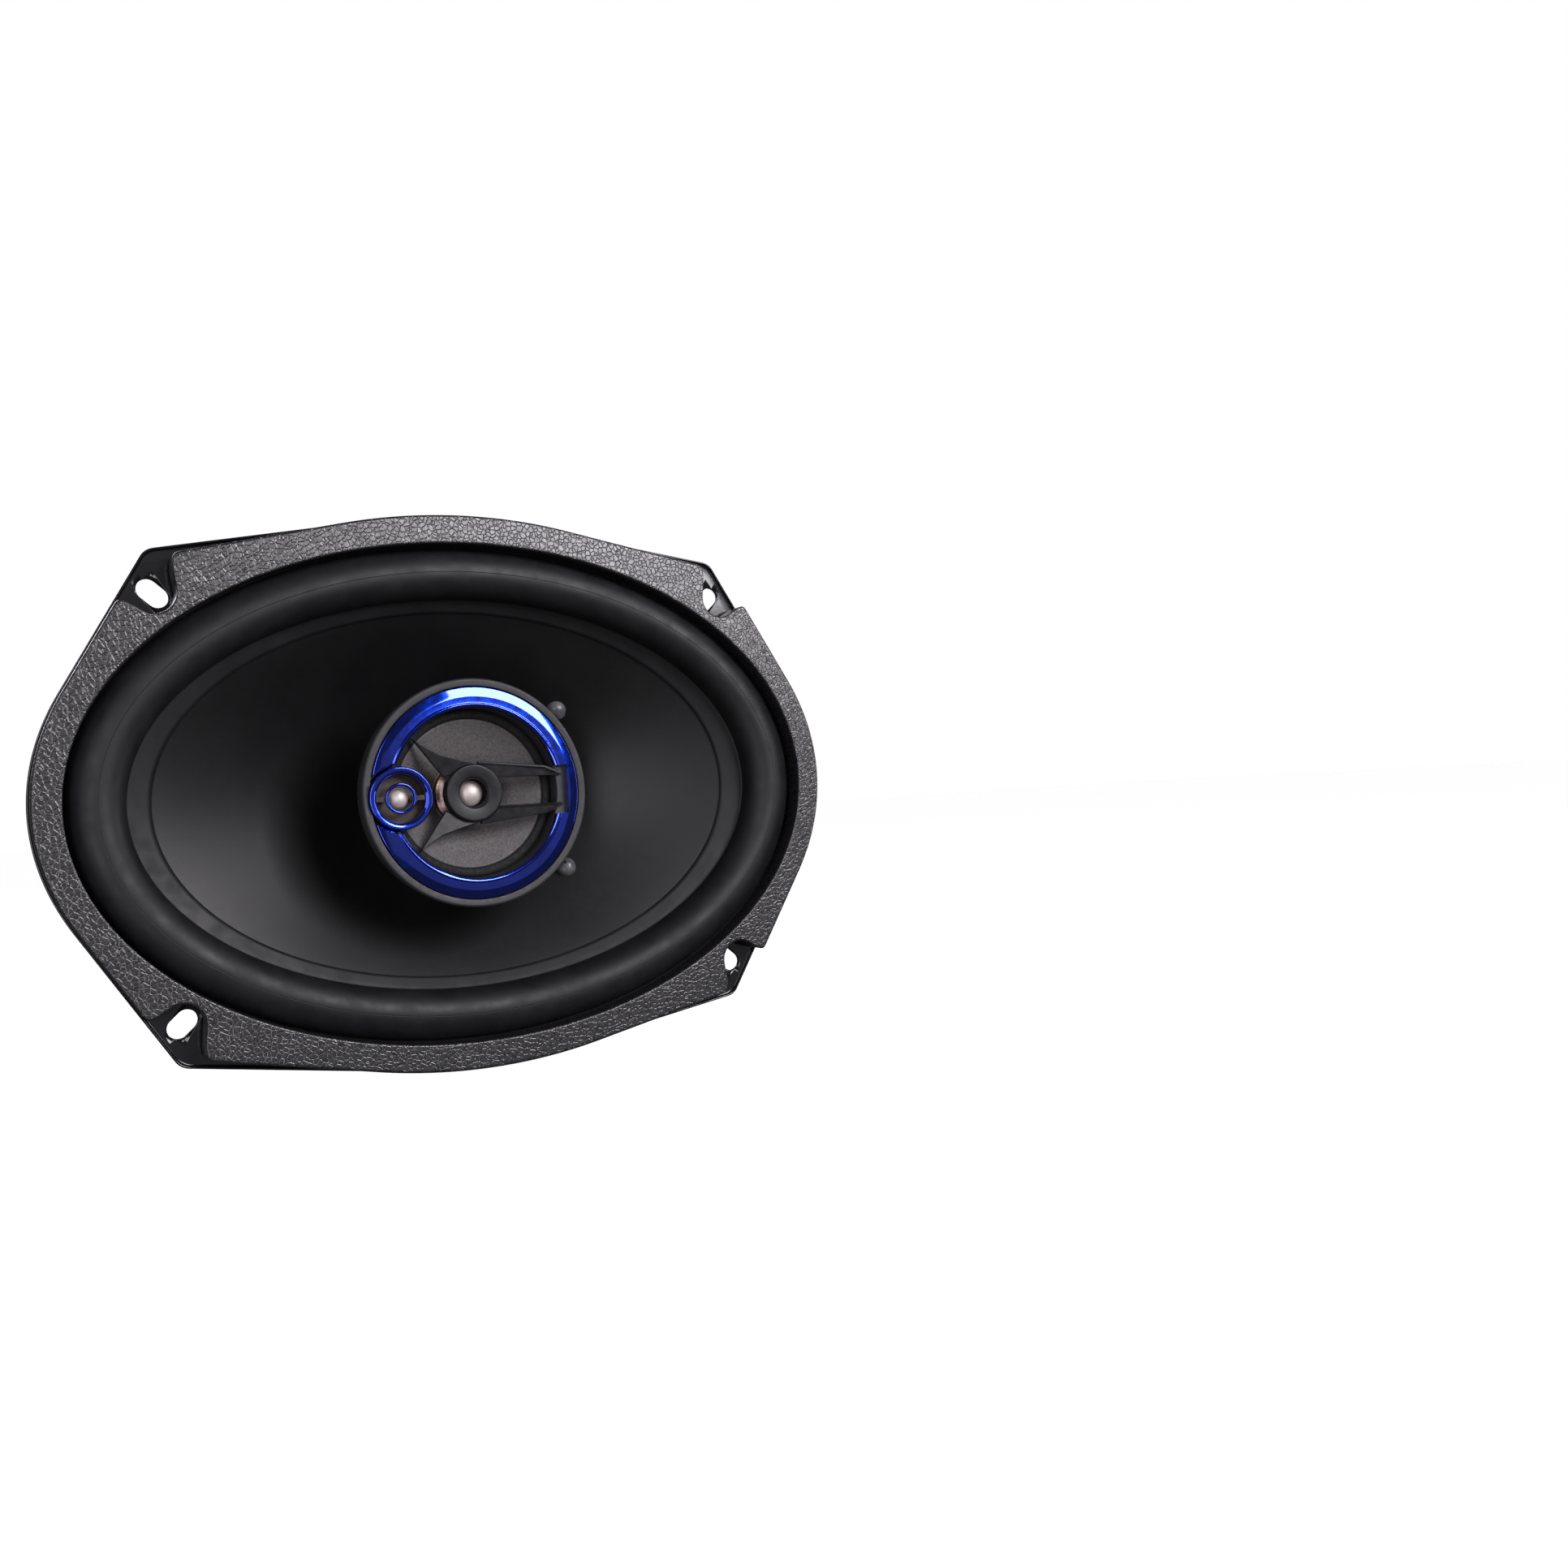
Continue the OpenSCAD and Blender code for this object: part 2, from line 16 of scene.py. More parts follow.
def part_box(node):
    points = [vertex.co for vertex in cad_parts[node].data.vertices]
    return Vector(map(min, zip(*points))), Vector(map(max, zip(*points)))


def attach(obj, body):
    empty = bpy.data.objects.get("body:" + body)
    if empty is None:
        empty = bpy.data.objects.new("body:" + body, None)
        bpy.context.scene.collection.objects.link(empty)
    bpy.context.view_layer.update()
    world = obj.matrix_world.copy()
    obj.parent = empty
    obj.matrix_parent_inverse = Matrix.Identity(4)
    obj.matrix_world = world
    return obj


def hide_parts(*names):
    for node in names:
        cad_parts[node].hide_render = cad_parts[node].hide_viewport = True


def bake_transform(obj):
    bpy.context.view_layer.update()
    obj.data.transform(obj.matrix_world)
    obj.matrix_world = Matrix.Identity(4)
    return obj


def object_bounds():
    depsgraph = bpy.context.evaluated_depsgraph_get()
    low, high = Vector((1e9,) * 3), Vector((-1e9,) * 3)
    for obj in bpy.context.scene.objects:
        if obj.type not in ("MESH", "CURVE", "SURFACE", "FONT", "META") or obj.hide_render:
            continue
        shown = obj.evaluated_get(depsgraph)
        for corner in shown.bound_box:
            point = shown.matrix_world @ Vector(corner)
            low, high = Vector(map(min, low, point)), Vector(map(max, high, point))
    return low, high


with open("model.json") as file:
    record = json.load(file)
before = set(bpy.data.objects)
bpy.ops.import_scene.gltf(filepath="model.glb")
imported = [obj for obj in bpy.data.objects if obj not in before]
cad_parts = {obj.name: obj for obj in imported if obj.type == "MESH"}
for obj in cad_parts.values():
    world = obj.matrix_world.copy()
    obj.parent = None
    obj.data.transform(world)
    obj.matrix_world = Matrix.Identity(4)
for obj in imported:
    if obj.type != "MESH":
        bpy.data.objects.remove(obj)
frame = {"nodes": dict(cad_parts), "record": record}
CAD_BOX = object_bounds()
NODES = frame["nodes"]
SLOTS = {part["node"]: part["material_slot"] for part in frame["record"]["subparts"]}
MM = 0.001
FLANGE_Z = -3.5  # the flange's mounting face in the speaker's own frame


def row(x, y, z):
    """A point of the speaker's own frame, in mm, in the shared frame, in metres."""
    return Vector((x, FLANGE_Z - z, y)) * MM


def node_box(name):
    """Lowest and highest corner of a CAD node in the speaker's own frame, in mm."""
    low, high = (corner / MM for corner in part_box(name))
    return Vector((low.x, low.z, FLANGE_Z - high.y)), Vector((high.x, high.z, FLANGE_Z - low.y))


# ---- sizes, in mm ----

FLANGE_A, FLANGE_B, RIM_Z = node_box("basket")[1]  # half length, half height, front of the rim
FACE_Z = node_box("gasket")[1].z
BEZEL_R, _, BEZEL_Z = node_box("bezel")[1]
TRIM_R = -node_box("trim_ring")[0].y
MID_R = node_box("mid_cone")[1].x
SUPER_X = -(node_box("super_tweeter_body")[0].x + node_box("super_tweeter_body")[1].x) / 2
SUPER_DROP = 0.5  # the super tweeter's axis is this far below the middle
SUPER_R = (node_box("super_tweeter_ring")[1].x - node_box("super_tweeter_ring")[0].x) / 2
CONE_GAP = 0.3  # from the cone's edge out to the foot of the surround's roll
CONE_A = node_box("cone")[1].x + CONE_GAP
CONE_B = node_box("cone")[1].y + CONE_GAP

SHEET = 1.2  # pressed steel of the basket
FLANGE_TOP = FLANGE_Z + SHEET
RIM_T = 0.7  # its turned-up rim
OPEN_A, OPEN_B = 109.5, 73.2  # the gasket's oval opening
FLANGE_IN_A, FLANGE_IN_B = OPEN_A - 0.7, OPEN_B - 0.7  # the flange's inner edge
SLOT = (83.5, 58.6, 42)  # a mounting slot's middle and its angle
SLOT_W, SLOT_L = 5.8, 9.0
FLANGE_EAR = (81.8, 65.9, 5.0, 32.3, 81.8)  # ear's centre, radius and the two ways its sides face
GASKET_EAR = (83.4, 62.7, 4.7, 32.3, 78.3)
NOTCH_R = 6.5  # round of the gasket's notch at a slot
WALL_TOP = (98.5, 62.6, -14.6)  # oval at the upper edge of the basket's slanting wall
WALL_FOOT = (50.0, 50.0, -39.0)  # circle at its lower edge
WINDOW_SPAN = 15.5  # half width of a window, in degrees
WINDOW_R = 3.2
RIBS = 8
POT_R, POT_Z = 41.0, -48.0  # round pot under the spider
POT_HOLE = 19.5
FORMER_R = 15.95
CONE_EDGE_Z, CONE_NECK_Z = -5.2, -35.5
ROLL_H, CREST = 7.7, 80  # the surround's roll: its rise, and the angle of its crest
ROLL_T, LIP_T = 0.75, 0.55  # its rubber on the roll and on the glued inner lip
DECK_Z = 6.2  # seat of the trim ring on the bezel
TRIM_IN = 25.1
MID_Z = 0.4  # seat of the midrange's surround
HUB_R, HUB_BORE, HUB_Z = 8.6, 4.2, 4.98
RAIL_FROM, RAIL_FOOT = 2, 23.5  # where the bridge's rails leave the hub and reach their foot
EYELET = (0.46, 45.4)  # share of the way out on the cone, and the oval's angle
LEAD_R, STRANDS = 0.55, 3


# ---- outlines ----

def rounded(points, radius, steps=5, closed=True):
    """The same outline with each corner turned into a short curve.
    radius is one number or one per corner."""
    points = [np.array(p, float) for p in points]
    count = len(points)
    radii = radius if isinstance(radius, (list, tuple)) else [radius] * count
    out = []
    for i, p in enumerate(points):
        if radii[i] == 0 or (not closed and i in (0, count - 1)):
            out.append(p)
            continue
        back, ahead = points[i - 1] - p, points[(i + 1) % count] - p
        back_length, ahead_length = np.linalg.norm(back), np.linalg.norm(ahead)
        a = p + back * min(radii[i] / back_length, 0.48)
        b = p + ahead * min(radii[i] / ahead_length, 0.48)
        for k in range(steps + 1):
            t = k / steps
            out.append(a * (1 - t) ** 2 + p * 2 * t * (1 - t) + b * t * t)
    return out


def eared_oval(a, b, ear, steps=24):
    """An oval with four round ears, as a closed list of points."""
    ear_x, ear_y, ear_r, side, top = ear
    side, top = radians(side), radians(top)
    first = atan2(b * sin(side), a * cos(side))
    last = atan2(b * sin(top), a * cos(top))
    shares = [i / steps for i in range(steps + 1)]
    quarter = [(a * cos(first * s), b * sin(first * s)) for s in shares]
    quarter += [(ear_x + ear_r * cos(side + (top - side) * s),
                 ear_y + ear_r * sin(side + (top - side) * s)) for s in shares]
    rest = [last + (pi / 2 - last) * s for s in shares]
    quarter += [(a * cos(t), b * sin(t)) for t in rest]
    half = quarter + [(-x, y) for x, y in reversed(quarter)]
    return half + [(-x, -y) for x, y in half]


def circle(x, y, r, count=48):
    """A circle as a closed list of points."""
    return [(x + r * cos(2 * pi * i / count), y + r * sin(2 * pi * i / count))
            for i in range(count)]


def slot_outline():
    """The upper right mounting slot, a round-ended one."""
    x, y, turn = SLOT
    half, r = (SLOT_L - SLOT_W) / 2, SLOT_W / 2
    ends = [(half, a) for a in range(-90, 91, 15)] + [(-half, a) for a in range(90, 271, 15)]
    ends = [(c + r * cos(radians(a)), r * sin(radians(a))) for c, a in ends]
    turn = radians(turn)
    return [(x + u * cos(turn) - v * sin(turn), y + u * sin(turn) + v * cos(turn))
            for u, v in ends]


def mirrored(outline):
    """The outline in all four quarters."""
    return [[(x * sx, y * sy) for x, y in outline] for sx in (1, -1) for sy in (1, -1)]


def ring_angles(coarse, fine):
    """Angles round an oval in radians, closer together where the rays reach the four ears."""
    ear_at, ear_span = 46, 9
    angles, t = [], 0.0
    while t < 360 - 1e-6:
        angles.append(radians(t))
        near_ear = min(abs(t % 180 - ear_at), abs(t % 180 - (180 - ear_at))) < ear_span
        t += fine if near_ear else coarse
    return np.array(angles)


def oval_frame(a, b, angles):
    """Points of an oval and the directions square to it."""
    points = np.stack([a * np.cos(angles), b * np.sin(angles)], 1)
    normals = np.stack([np.cos(angles) / a, np.sin(angles) / b], 1)
    return points, normals / np.linalg.norm(normals, axis=1)[:, None]


def reach(points, normals, outlines):
    """How far each point is from the nearest outline ahead of it."""
    beyond, tiny = 1e9, 1e-6
    best = np.full(len(points), beyond)
    for outline in outlines:
        start = np.array(outline, float)
        edge = np.roll(start, -1, 0) - start
        keep = np.linalg.norm(edge, axis=1) > 1e-9
        start, edge = start[keep], edge[keep]
        to = start[None] - points[:, None]
        down = normals[:, None, 0] * edge[None, :, 1] - normals[:, None, 1] * edge[None, :, 0]
        down = np.where(np.abs(down) < 1e-12, 1e-12, down)
        far = (to[..., 0] * edge[None, :, 1] - to[..., 1] * edge[None, :, 0]) / down
        along = (to[..., 0] * normals[:, None, 1] - to[..., 1] * normals[:, None, 0]) / down
        hit = (along >= -tiny) & (along <= 1 + tiny) & (far > 0)
        best = np.minimum(best, np.where(hit, far, beyond).min(1))
    return best


# ---- meshes ----

def add_object(name, mesh, finish, smooth=True):
    """A new object in the scene, with its one material."""
    obj = bpy.data.objects.new(name, mesh)
    bpy.context.scene.collection.objects.link(obj)
    mesh.materials.append(finish)
    mesh.polygons.foreach_set("use_smooth", [smooth] * len(mesh.polygons))
    return obj


def skin(name, grid, finish, around=True, across=True, caps=False):
    """A mesh of quads over a grid of points (rows, columns, 3), in mm. around closes each row on
    itself, across joins the last row to the first, and caps fills the open ends."""
    grid = np.asarray(grid, float)
    rows, columns = grid.shape[:2]
    flat = grid.reshape(-1, 3)
    points = np.stack([flat[:, 0], FLANGE_Z - flat[:, 2], flat[:, 1]], 1) * MM
    i = np.arange(rows if across else rows - 1)[:, None]
    k = np.arange(columns if around else columns - 1)[None]
    up, on = (i + 1) % rows, (k + 1) % columns
    faces = np.stack([i * columns + k, i * columns + on, up * columns + on, up * columns + k], -1)
    faces = faces.reshape(-1, 4).tolist()
    if caps and across:
        faces.append([r * columns for r in range(rows)])
        faces.append([r * columns + columns - 1 for r in range(rows)][::-1])
    if caps and around and not across:
        faces.append(list(range(columns)))
        faces.append(list(range((rows - 1) * columns, rows * columns))[::-1])
    mesh = bpy.data.meshes.new(name)
    mesh.from_pydata(points.tolist(), [], faces)
    close_up(mesh)
    return add_object(name, mesh, finish)


def close_up(mesh):
    """Joins points that lie on each other and turns the faces outwards."""
    work = bmesh.new()
    work.from_mesh(mesh)
    bmesh.ops.remove_doubles(work, verts=work.verts, dist=1e-7)
    bmesh.ops.recalc_face_normals(work, faces=work.faces)
    work.to_mesh(mesh)
    work.free()


def oval_grid(section, count):
    """Rows of points round the ovals (half length, half height, z) of a section."""
    t = np.linspace(0, 2 * pi, count, endpoint=False)
    section = np.array(section, float)
    x = section[:, 0:1] * np.cos(t)
    y = section[:, 1:2] * np.sin(t)
    return np.stack([x, y, np.repeat(section[:, 2:3], count, 1)], -1)


def turned_grid(section, count=192, centre=(0.0, 0.0)):
    """Rows of points round the circles (radius, z) of a section."""
    grid = oval_grid([(r, r, z) for r, z in section], count)
    return grid + np.array([centre[0], centre[1], 0.0])


def turned(name, section, finish, count=192, centre=(0.0, 0.0)):
    """A solid of revolution; its section is a closed loop, or runs from the axis back to the axis."""
    on_axis = section[0][0] < 1e-6 and section[-1][0] < 1e-6
    return skin(name, turned_grid(section, count, centre), finish, across=not on_axis)


def prism(name, outline, low, high, finish):
    """A closed outline raised from low to high; both may be numbers or functions of (x, y)."""
    levels = [level if callable(level) else lambda x, y, z=level: z for level in (low, high)]
    rows = [[(x, y, level(x, y)) for x, y in outline] for level in levels]
    return skin(name, rows, finish, across=False, caps=True)


def bevel(obj, width, segments=3, angle=35):
    """Rounds the edges sharper than angle, by a modifier that leaves the mesh as it is."""
    modifier = obj.modifiers.new("round", "BEVEL")
    modifier.width = width * MM
    modifier.segments = segments
    modifier.limit_method = "ANGLE"
    modifier.angle_limit = radians(angle)
    modifier.harden_normals = True


def cut(obj, cutters):
    """Takes the cutters out of obj for good."""
    for cutter in cutters:
        modifier = obj.modifiers.new("cut", "BOOLEAN")
        modifier.operation = "DIFFERENCE"
        modifier.solver = "EXACT"
        modifier.object = cutter
    graph = bpy.context.evaluated_depsgraph_get()
    cut_mesh = bpy.data.meshes.new_from_object(obj.evaluated_get(graph))
    obj.modifiers.clear()
    obj.data = cut_mesh
    for cutter in cutters:
        bpy.data.objects.remove(cutter)


def stand_for(node):
    """Hides the CAD node that the piece stands for."""
    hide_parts(node)


def place(obj, body, node):
    """A piece that rides on a body."""
    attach(obj, body)
    stand_for(node)


def stretch(obj, node):
    """A piece that stays with the frame: its place is baked into its mesh, and its CAD node is hidden."""
    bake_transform(obj)
    stand_for(node)


# ---- finishes ----

def fill(node, **values):
    """Sets a node's inputs by their names, with _ for a space."""
    for name, value in values.items():
        node.inputs[name.replace("_", " ")].default_value = value


class Finish:
    """A procedural material: one Principled shader and the textures that feed it.
    colour and roughness are the plain values that tint and gloss take over."""

    def __init__(self, name, colour, roughness, **sockets):
        self.material = bpy.data.materials.new(name)
        self.material.use_nodes = True
        self.tree = self.material.node_tree
        self.shader = self.tree.nodes["Principled BSDF"]
        fill(self.shader, Base_Color=(*colour, 1), Roughness=roughness, **sockets)
        self.place = self.node("ShaderNodeTexCoord").outputs["Object"]
        self.normal = None

    def node(self, kind, **values):
        made = self.tree.nodes.new(kind)
        for key, value in values.items():
            setattr(made, key, value)
        return made

    def link(self, source, target):
        self.tree.links.new(source, target)

    def stretched(self, x, y, z):
        """The place with its axes scaled, for streaks."""
        mapping = self.node("ShaderNodeMapping")
        fill(mapping, Scale=(x, y, z))
        self.link(self.place, mapping.inputs["Vector"])
        return mapping.outputs["Vector"]

    def grain(self, size, detail=4.0, rough=0.5, place=None, twist=0.0):
        """Soft noise whose lumps are about size mm across."""
        made = self.node("ShaderNodeTexNoise")
        fill(made, Scale=1 / MM / size, Detail=detail, Roughness=rough, Distortion=twist)
        self.link(place or self.place, made.inputs["Vector"])
        return made.outputs["Fac"]

    def cells(self, size, feature="DISTANCE_TO_EDGE", place=None):
        """Cells about size mm across."""
        made = self.node("ShaderNodeTexVoronoi", feature=feature)
        fill(made, Scale=1 / MM / size)
        self.link(place or self.place, made.inputs["Vector"])
        return made.outputs["Distance"]

    def warped(self, size, amount):
        """The place pushed about by noise of that size, by about amount mm."""
        made = self.node("ShaderNodeTexNoise")
        fill(made, Scale=1 / MM / size)
        self.link(self.place, made.inputs["Vector"])
        swing = 4  # the noise swings by about a quarter each way
        centred = self.node("ShaderNodeVectorMath", operation="SUBTRACT")
        self.link(made.outputs["Color"], centred.inputs[0])
        centred.inputs[1].default_value = (0.5, 0.5, 0.5)
        pushed = self.node("ShaderNodeVectorMath", operation="MULTIPLY_ADD")
        self.link(centred.outputs[0], pushed.inputs[0])
        pushed.inputs[1].default_value = (amount * MM * swing,) * 3
        self.link(self.place, pushed.inputs[2])
        return pushed.outputs[0]

    def spread(self, value, low, high, to_low=0.0, to_high=1.0):
        """value from low to high, mapped on to_low to to_high."""
        made = self.node("ShaderNodeMapRange")
        fill(made, From_Min=low, From_Max=high, To_Min=to_low, To_Max=to_high)
        self.link(value, made.inputs["Value"])
        return made.outputs["Result"]

    def tint(self, value, dark, light, low=0.35, high=0.65):
        """Base colour from dark to light, as value goes from low to high."""
        made = self.node("ShaderNodeValToRGB")
        for stop, position, colour in zip(made.color_ramp.elements, (low, high), (dark, light)):
            stop.position = position
            stop.color = (*colour, 1)
        self.link(value, made.inputs["Fac"])
        self.link(made.outputs["Color"], self.shader.inputs["Base Color"])

    def gloss(self, value, smooth, rough, low=0.35, high=0.65):
        """Roughness from smooth to rough, as value goes from low to high."""
        self.link(self.spread(value, low, high, smooth, rough), self.shader.inputs["Roughness"])

    def relief(self, value, depth, strength=1.0):
        """Adds bumps depth mm deep."""
        made = self.node("ShaderNodeBump")
        fill(made, Distance=depth * MM, Strength=strength)
        self.link(value, made.inputs["Height"])
        if self.normal:
            self.link(self.normal, made.inputs["Normal"])
        self.normal = made.outputs["Normal"]
        self.link(self.normal, self.shader.inputs["Normal"])


def painted_steel():
    f = Finish("black_steel", (0.008, 0.008, 0.010), 0.16, Coat_Weight=0.3, Coat_Roughness=0.06)
    f.tint(f.grain(22, 3), (0.006, 0.006, 0.008), (0.010, 0.010, 0.012))
    f.gloss(f.grain(6, 5), 0.08, 0.16)
    f.relief(f.grain(2.2, 2), 0.02, 0.4)
    return f.material


def crinkled_vinyl():
    f = Finish("gasket_vinyl", (0.014, 0.013, 0.017), 0.36, Specular_IOR_Level=0.95)
    edge = f.cells(1.35, place=f.warped(1.5, 0.16))
    plateau = f.spread(edge, 0.01, 0.13)
    # the crinkle's cell edges are tinted nearly black: painted shade in the creases between the plateaus
    f.tint(plateau, (0.002, 0.002, 0.003), (0.020, 0.019, 0.022), 0.0, 0.8)
    f.gloss(f.grain(1.6, 4), 0.27, 0.35)
    f.relief(f.grain(0.9, 2), 0.01, 0.4)
    f.relief(plateau, 0.055, 1.0)
    return f.material


def rubber():
    f = Finish("surround_rubber", (0.011, 0.011, 0.012), 0.42, Specular_IOR_Level=0.4)
    f.tint(f.grain(14, 4), (0.006, 0.006, 0.007), (0.009, 0.009, 0.010))
    f.gloss(f.grain(5, 5), 0.46, 0.58)
    f.relief(f.grain(0.5, 3), 0.012, 0.5)
    return f.material


def foam():
    f = Finish("mid_foam", (0.008, 0.008, 0.008), 0.8)
    f.tint(f.grain(0.8, 4), (0.006, 0.006, 0.006), (0.012, 0.012, 0.012))
    f.gloss(f.grain(1.2, 4), 0.72, 0.9)
    f.relief(f.grain(0.3, 4), 0.03, 0.7)
    return f.material


def moulded_cone():
    f = Finish("cone_polymer", (0.010, 0.010, 0.011), 0.38, Specular_IOR_Level=0.5, IOR=1.45)
    f.tint(f.grain(18, 5), (0.004, 0.004, 0.0045), (0.006, 0.006, 0.0065))
    f.gloss(f.grain(2.5, 6, 0.6), 0.39, 0.43)
    f.relief(f.grain(0.35, 4, 0.6), 0.012, 0.6)
    return f.material


def textured_plastic():
    f = Finish("bezel_plastic", (0.03, 0.03, 0.032), 0.5)
    f.tint(f.grain(9, 4), (0.028, 0.028, 0.030), (0.040, 0.040, 0.043))
    f.gloss(f.grain(1.5, 4), 0.44, 0.58)
    f.relief(f.grain(0.22, 2), 0.018, 0.7)
    return f.material


def black_plastic():
    f = Finish("black_plastic", (0.010, 0.010, 0.011), 0.38, Specular_IOR_Level=0.35)
    f.tint(f.grain(7, 4), (0.007, 0.007, 0.008), (0.013, 0.013, 0.015))
    f.gloss(f.grain(2, 5), 0.28, 0.40)
    f.relief(f.grain(0.3, 3), 0.010, 0.5)
    return f.material


def dark_recess():
    f = Finish("super_recess", (0.020, 0.015, 0.012), 0.5)
    f.tint(f.grain(3, 4), (0.022, 0.013, 0.009), (0.042, 0.026, 0.018))
    f.gloss(f.grain(2, 4), 0.4, 0.6)
    f.relief(f.grain(0.3, 3), 0.01, 0.5)
    return f.material


def blue_chrome():
    f = Finish("blue_chrome", (0.004, 0.055, 0.70), 0.16, Metallic=1.0,
               Coat_Weight=1.0, Coat_Roughness=0.05, Coat_IOR=1.65)
    f.tint(f.grain(7, 3, 0.5), (0.001, 0.032, 0.54), (0.002, 0.050, 0.72))
    f.gloss(f.grain(3, 3), 0.09, 0.16)
    f.relief(f.grain(5, 2), 0.02, 0.4)
    return f.material


def fibrous_paper():
    f = Finish("mid_paper", (0.05, 0.047, 0.044), 0.8)
    fibres = f.grain(0.9, 8, 0.7, twist=2.0)
    f.tint(fibres, (0.065, 0.061, 0.060), (0.18, 0.170, 0.168))
    f.gloss(f.grain(1.2, 4), 0.68, 0.88)
    f.relief(fibres, 0.10, 0.8)
    return f.material


def bright_film():
    f = Finish("silver_film", (0.74, 0.66, 0.62), 0.5, Metallic=0.5)
    f.tint(f.grain(2.5, 4), (0.70, 0.62, 0.58), (0.78, 0.71, 0.67))
    f.gloss(f.grain(1.5, 4), 0.46, 0.56)
    f.relief(f.grain(1.5, 2), 0.002, 0.3)
    return f.material


def bronze_film():
    f = Finish("mid_dome_film", (0.45, 0.33, 0.27), 0.3, Metallic=1.0)
    f.tint(f.grain(2.5, 4), (0.20, 0.14, 0.12), (0.30, 0.22, 0.19))
    f.gloss(f.grain(0.8, 4), 0.24, 0.38)
    f.relief(f.grain(0.6, 3), 0.012, 0.4)
    return f.material


def zinc_steel():
    f = Finish("zinc_steel", (0.50, 0.51, 0.53), 0.35, Metallic=1.0)
    f.tint(f.grain(9, 4), (0.45, 0.46, 0.47), (0.57, 0.58, 0.59))
    f.gloss(f.grain(4, 4), 0.30, 0.42)
    f.relief(f.grain(0.9, 3, place=f.stretched(1, 0.15, 1)), 0.01, 0.5)
    return f.material


def ferrite():
    f = Finish("ferrite", (0.055, 0.055, 0.058), 0.55)
    f.tint(f.grain(3, 6, 0.65), (0.038, 0.038, 0.040), (0.080, 0.080, 0.084))
    f.gloss(f.grain(1.5, 5), 0.45, 0.66)
    f.relief(f.grain(0.5, 6, 0.7), 0.05, 0.8)
    return f.material


def amber_former():
    f = Finish("former", (0.50, 0.34, 0.13), 0.32)
    f.tint(f.grain(6, 4), (0.42, 0.27, 0.09), (0.58, 0.41, 0.18))
    f.gloss(f.grain(2, 4), 0.24, 0.40)
    f.relief(f.grain(0.8, 3), 0.01, 0.5)
    return f.material


def wound_wire():
    f = Finish("copper_wire", (0.62, 0.26, 0.11), 0.3, Metallic=1.0, Coat_Weight=0.4)
    wire = 0.35
    turns = f.node("ShaderNodeTexWave", wave_type="BANDS", bands_direction="Y")
    fill(turns, Scale=1 / MM / wire / (2 * pi) / 3.2)
    f.link(f.place, turns.inputs["Vector"])
    f.tint(turns.outputs["Fac"], (0.36, 0.12, 0.05), (0.70, 0.31, 0.13), 0.1, 0.9)
    f.gloss(f.grain(2, 4), 0.24, 0.42)
    f.relief(turns.outputs["Fac"], 0.08, 0.8)
    return f.material


def spider_cloth():
    f = Finish("spider_cloth", (0.50, 0.32, 0.11), 0.82)
    weave = f.cells(0.55, "F1")
    f.tint(weave, (0.58, 0.39, 0.15), (0.36, 0.21, 0.07), 0.05, 0.6)
    f.gloss(f.grain(1, 4), 0.72, 0.9)
    f.relief(weave, 0.10, 0.9)
    return f.material


def braid():
    f = Finish("braid", (0.62, 0.40, 0.18), 0.36, Metallic=1.0)
    f.tint(f.grain(0.8, 4), (0.45, 0.27, 0.11), (0.75, 0.52, 0.27))
    f.gloss(f.grain(0.5, 4), 0.26, 0.48)
    f.relief(f.grain(0.25, 3, place=f.stretched(1, 0.4, 1)), 0.04, 0.8)
    return f.material


def lead_sleeve():
    f = Finish("lead_sleeve", (0.02, 0.02, 0.022), 0.5)
    f.tint(f.grain(0.8, 4), (0.014, 0.014, 0.016), (0.034, 0.034, 0.037))
    f.gloss(f.grain(0.6, 4), 0.4, 0.6)
    f.relief(f.grain(0.3, 3), 0.03, 0.7)
    return f.material


def glossy_glue():
    f = Finish("glue", (0.05, 0.05, 0.054), 0.4, Coat_Weight=0.3, Coat_Roughness=0.15)
    f.tint(f.grain(2.4, 4), (0.08, 0.08, 0.085), (0.13, 0.13, 0.14))
    f.gloss(f.grain(1.2, 4), 0.34, 0.48)
    f.relief(f.grain(1.6, 2), 0.03, 0.4)
    return f.material


def fibre_board():
    f = Finish("board_fibre", (0.16, 0.07, 0.03), 0.62)
    fibres = f.grain(1.2, 7, 0.7, place=f.stretched(0.35, 1, 1))
    f.tint(fibres, (0.11, 0.045, 0.018), (0.22, 0.10, 0.045))
    f.gloss(f.grain(1, 4), 0.52, 0.72)
    f.relief(f.grain(0.5, 5), 0.03, 0.7)
    return f.material


def tinned_brass():
    f = Finish("tinned_brass", (0.72, 0.60, 0.32), 0.3, Metallic=1.0)
    f.tint(f.grain(4, 3), (0.66, 0.55, 0.30), (0.77, 0.67, 0.39))
    f.gloss(f.grain(2.5, 3), 0.24, 0.36)
    f.relief(f.grain(1.2, 4, place=f.stretched(0.1, 1, 1)), 0.01, 0.6)
    return f.material


def tinned_tab():
    f = Finish("tinned_tab", (0.66, 0.66, 0.66), 0.3, Metallic=1.0)
    f.tint(f.grain(4, 3), (0.60, 0.60, 0.61), (0.72, 0.72, 0.72))
    f.gloss(f.grain(2.5, 3), 0.24, 0.38)
    f.relief(f.grain(1.2, 4, place=f.stretched(0.1, 1, 1)), 0.01, 0.6)
    return f.material


def shrink_sleeve():
    f = Finish("cap_sleeve", (0.015, 0.03, 0.075), 0.25, Coat_Weight=0.4)
    f.tint(f.grain(5, 3), (0.010, 0.022, 0.06), (0.02, 0.038, 0.095))
    f.gloss(f.grain(2, 4), 0.18, 0.34)
    f.relief(f.grain(1.5, 2), 0.02, 0.5)
    return f.material


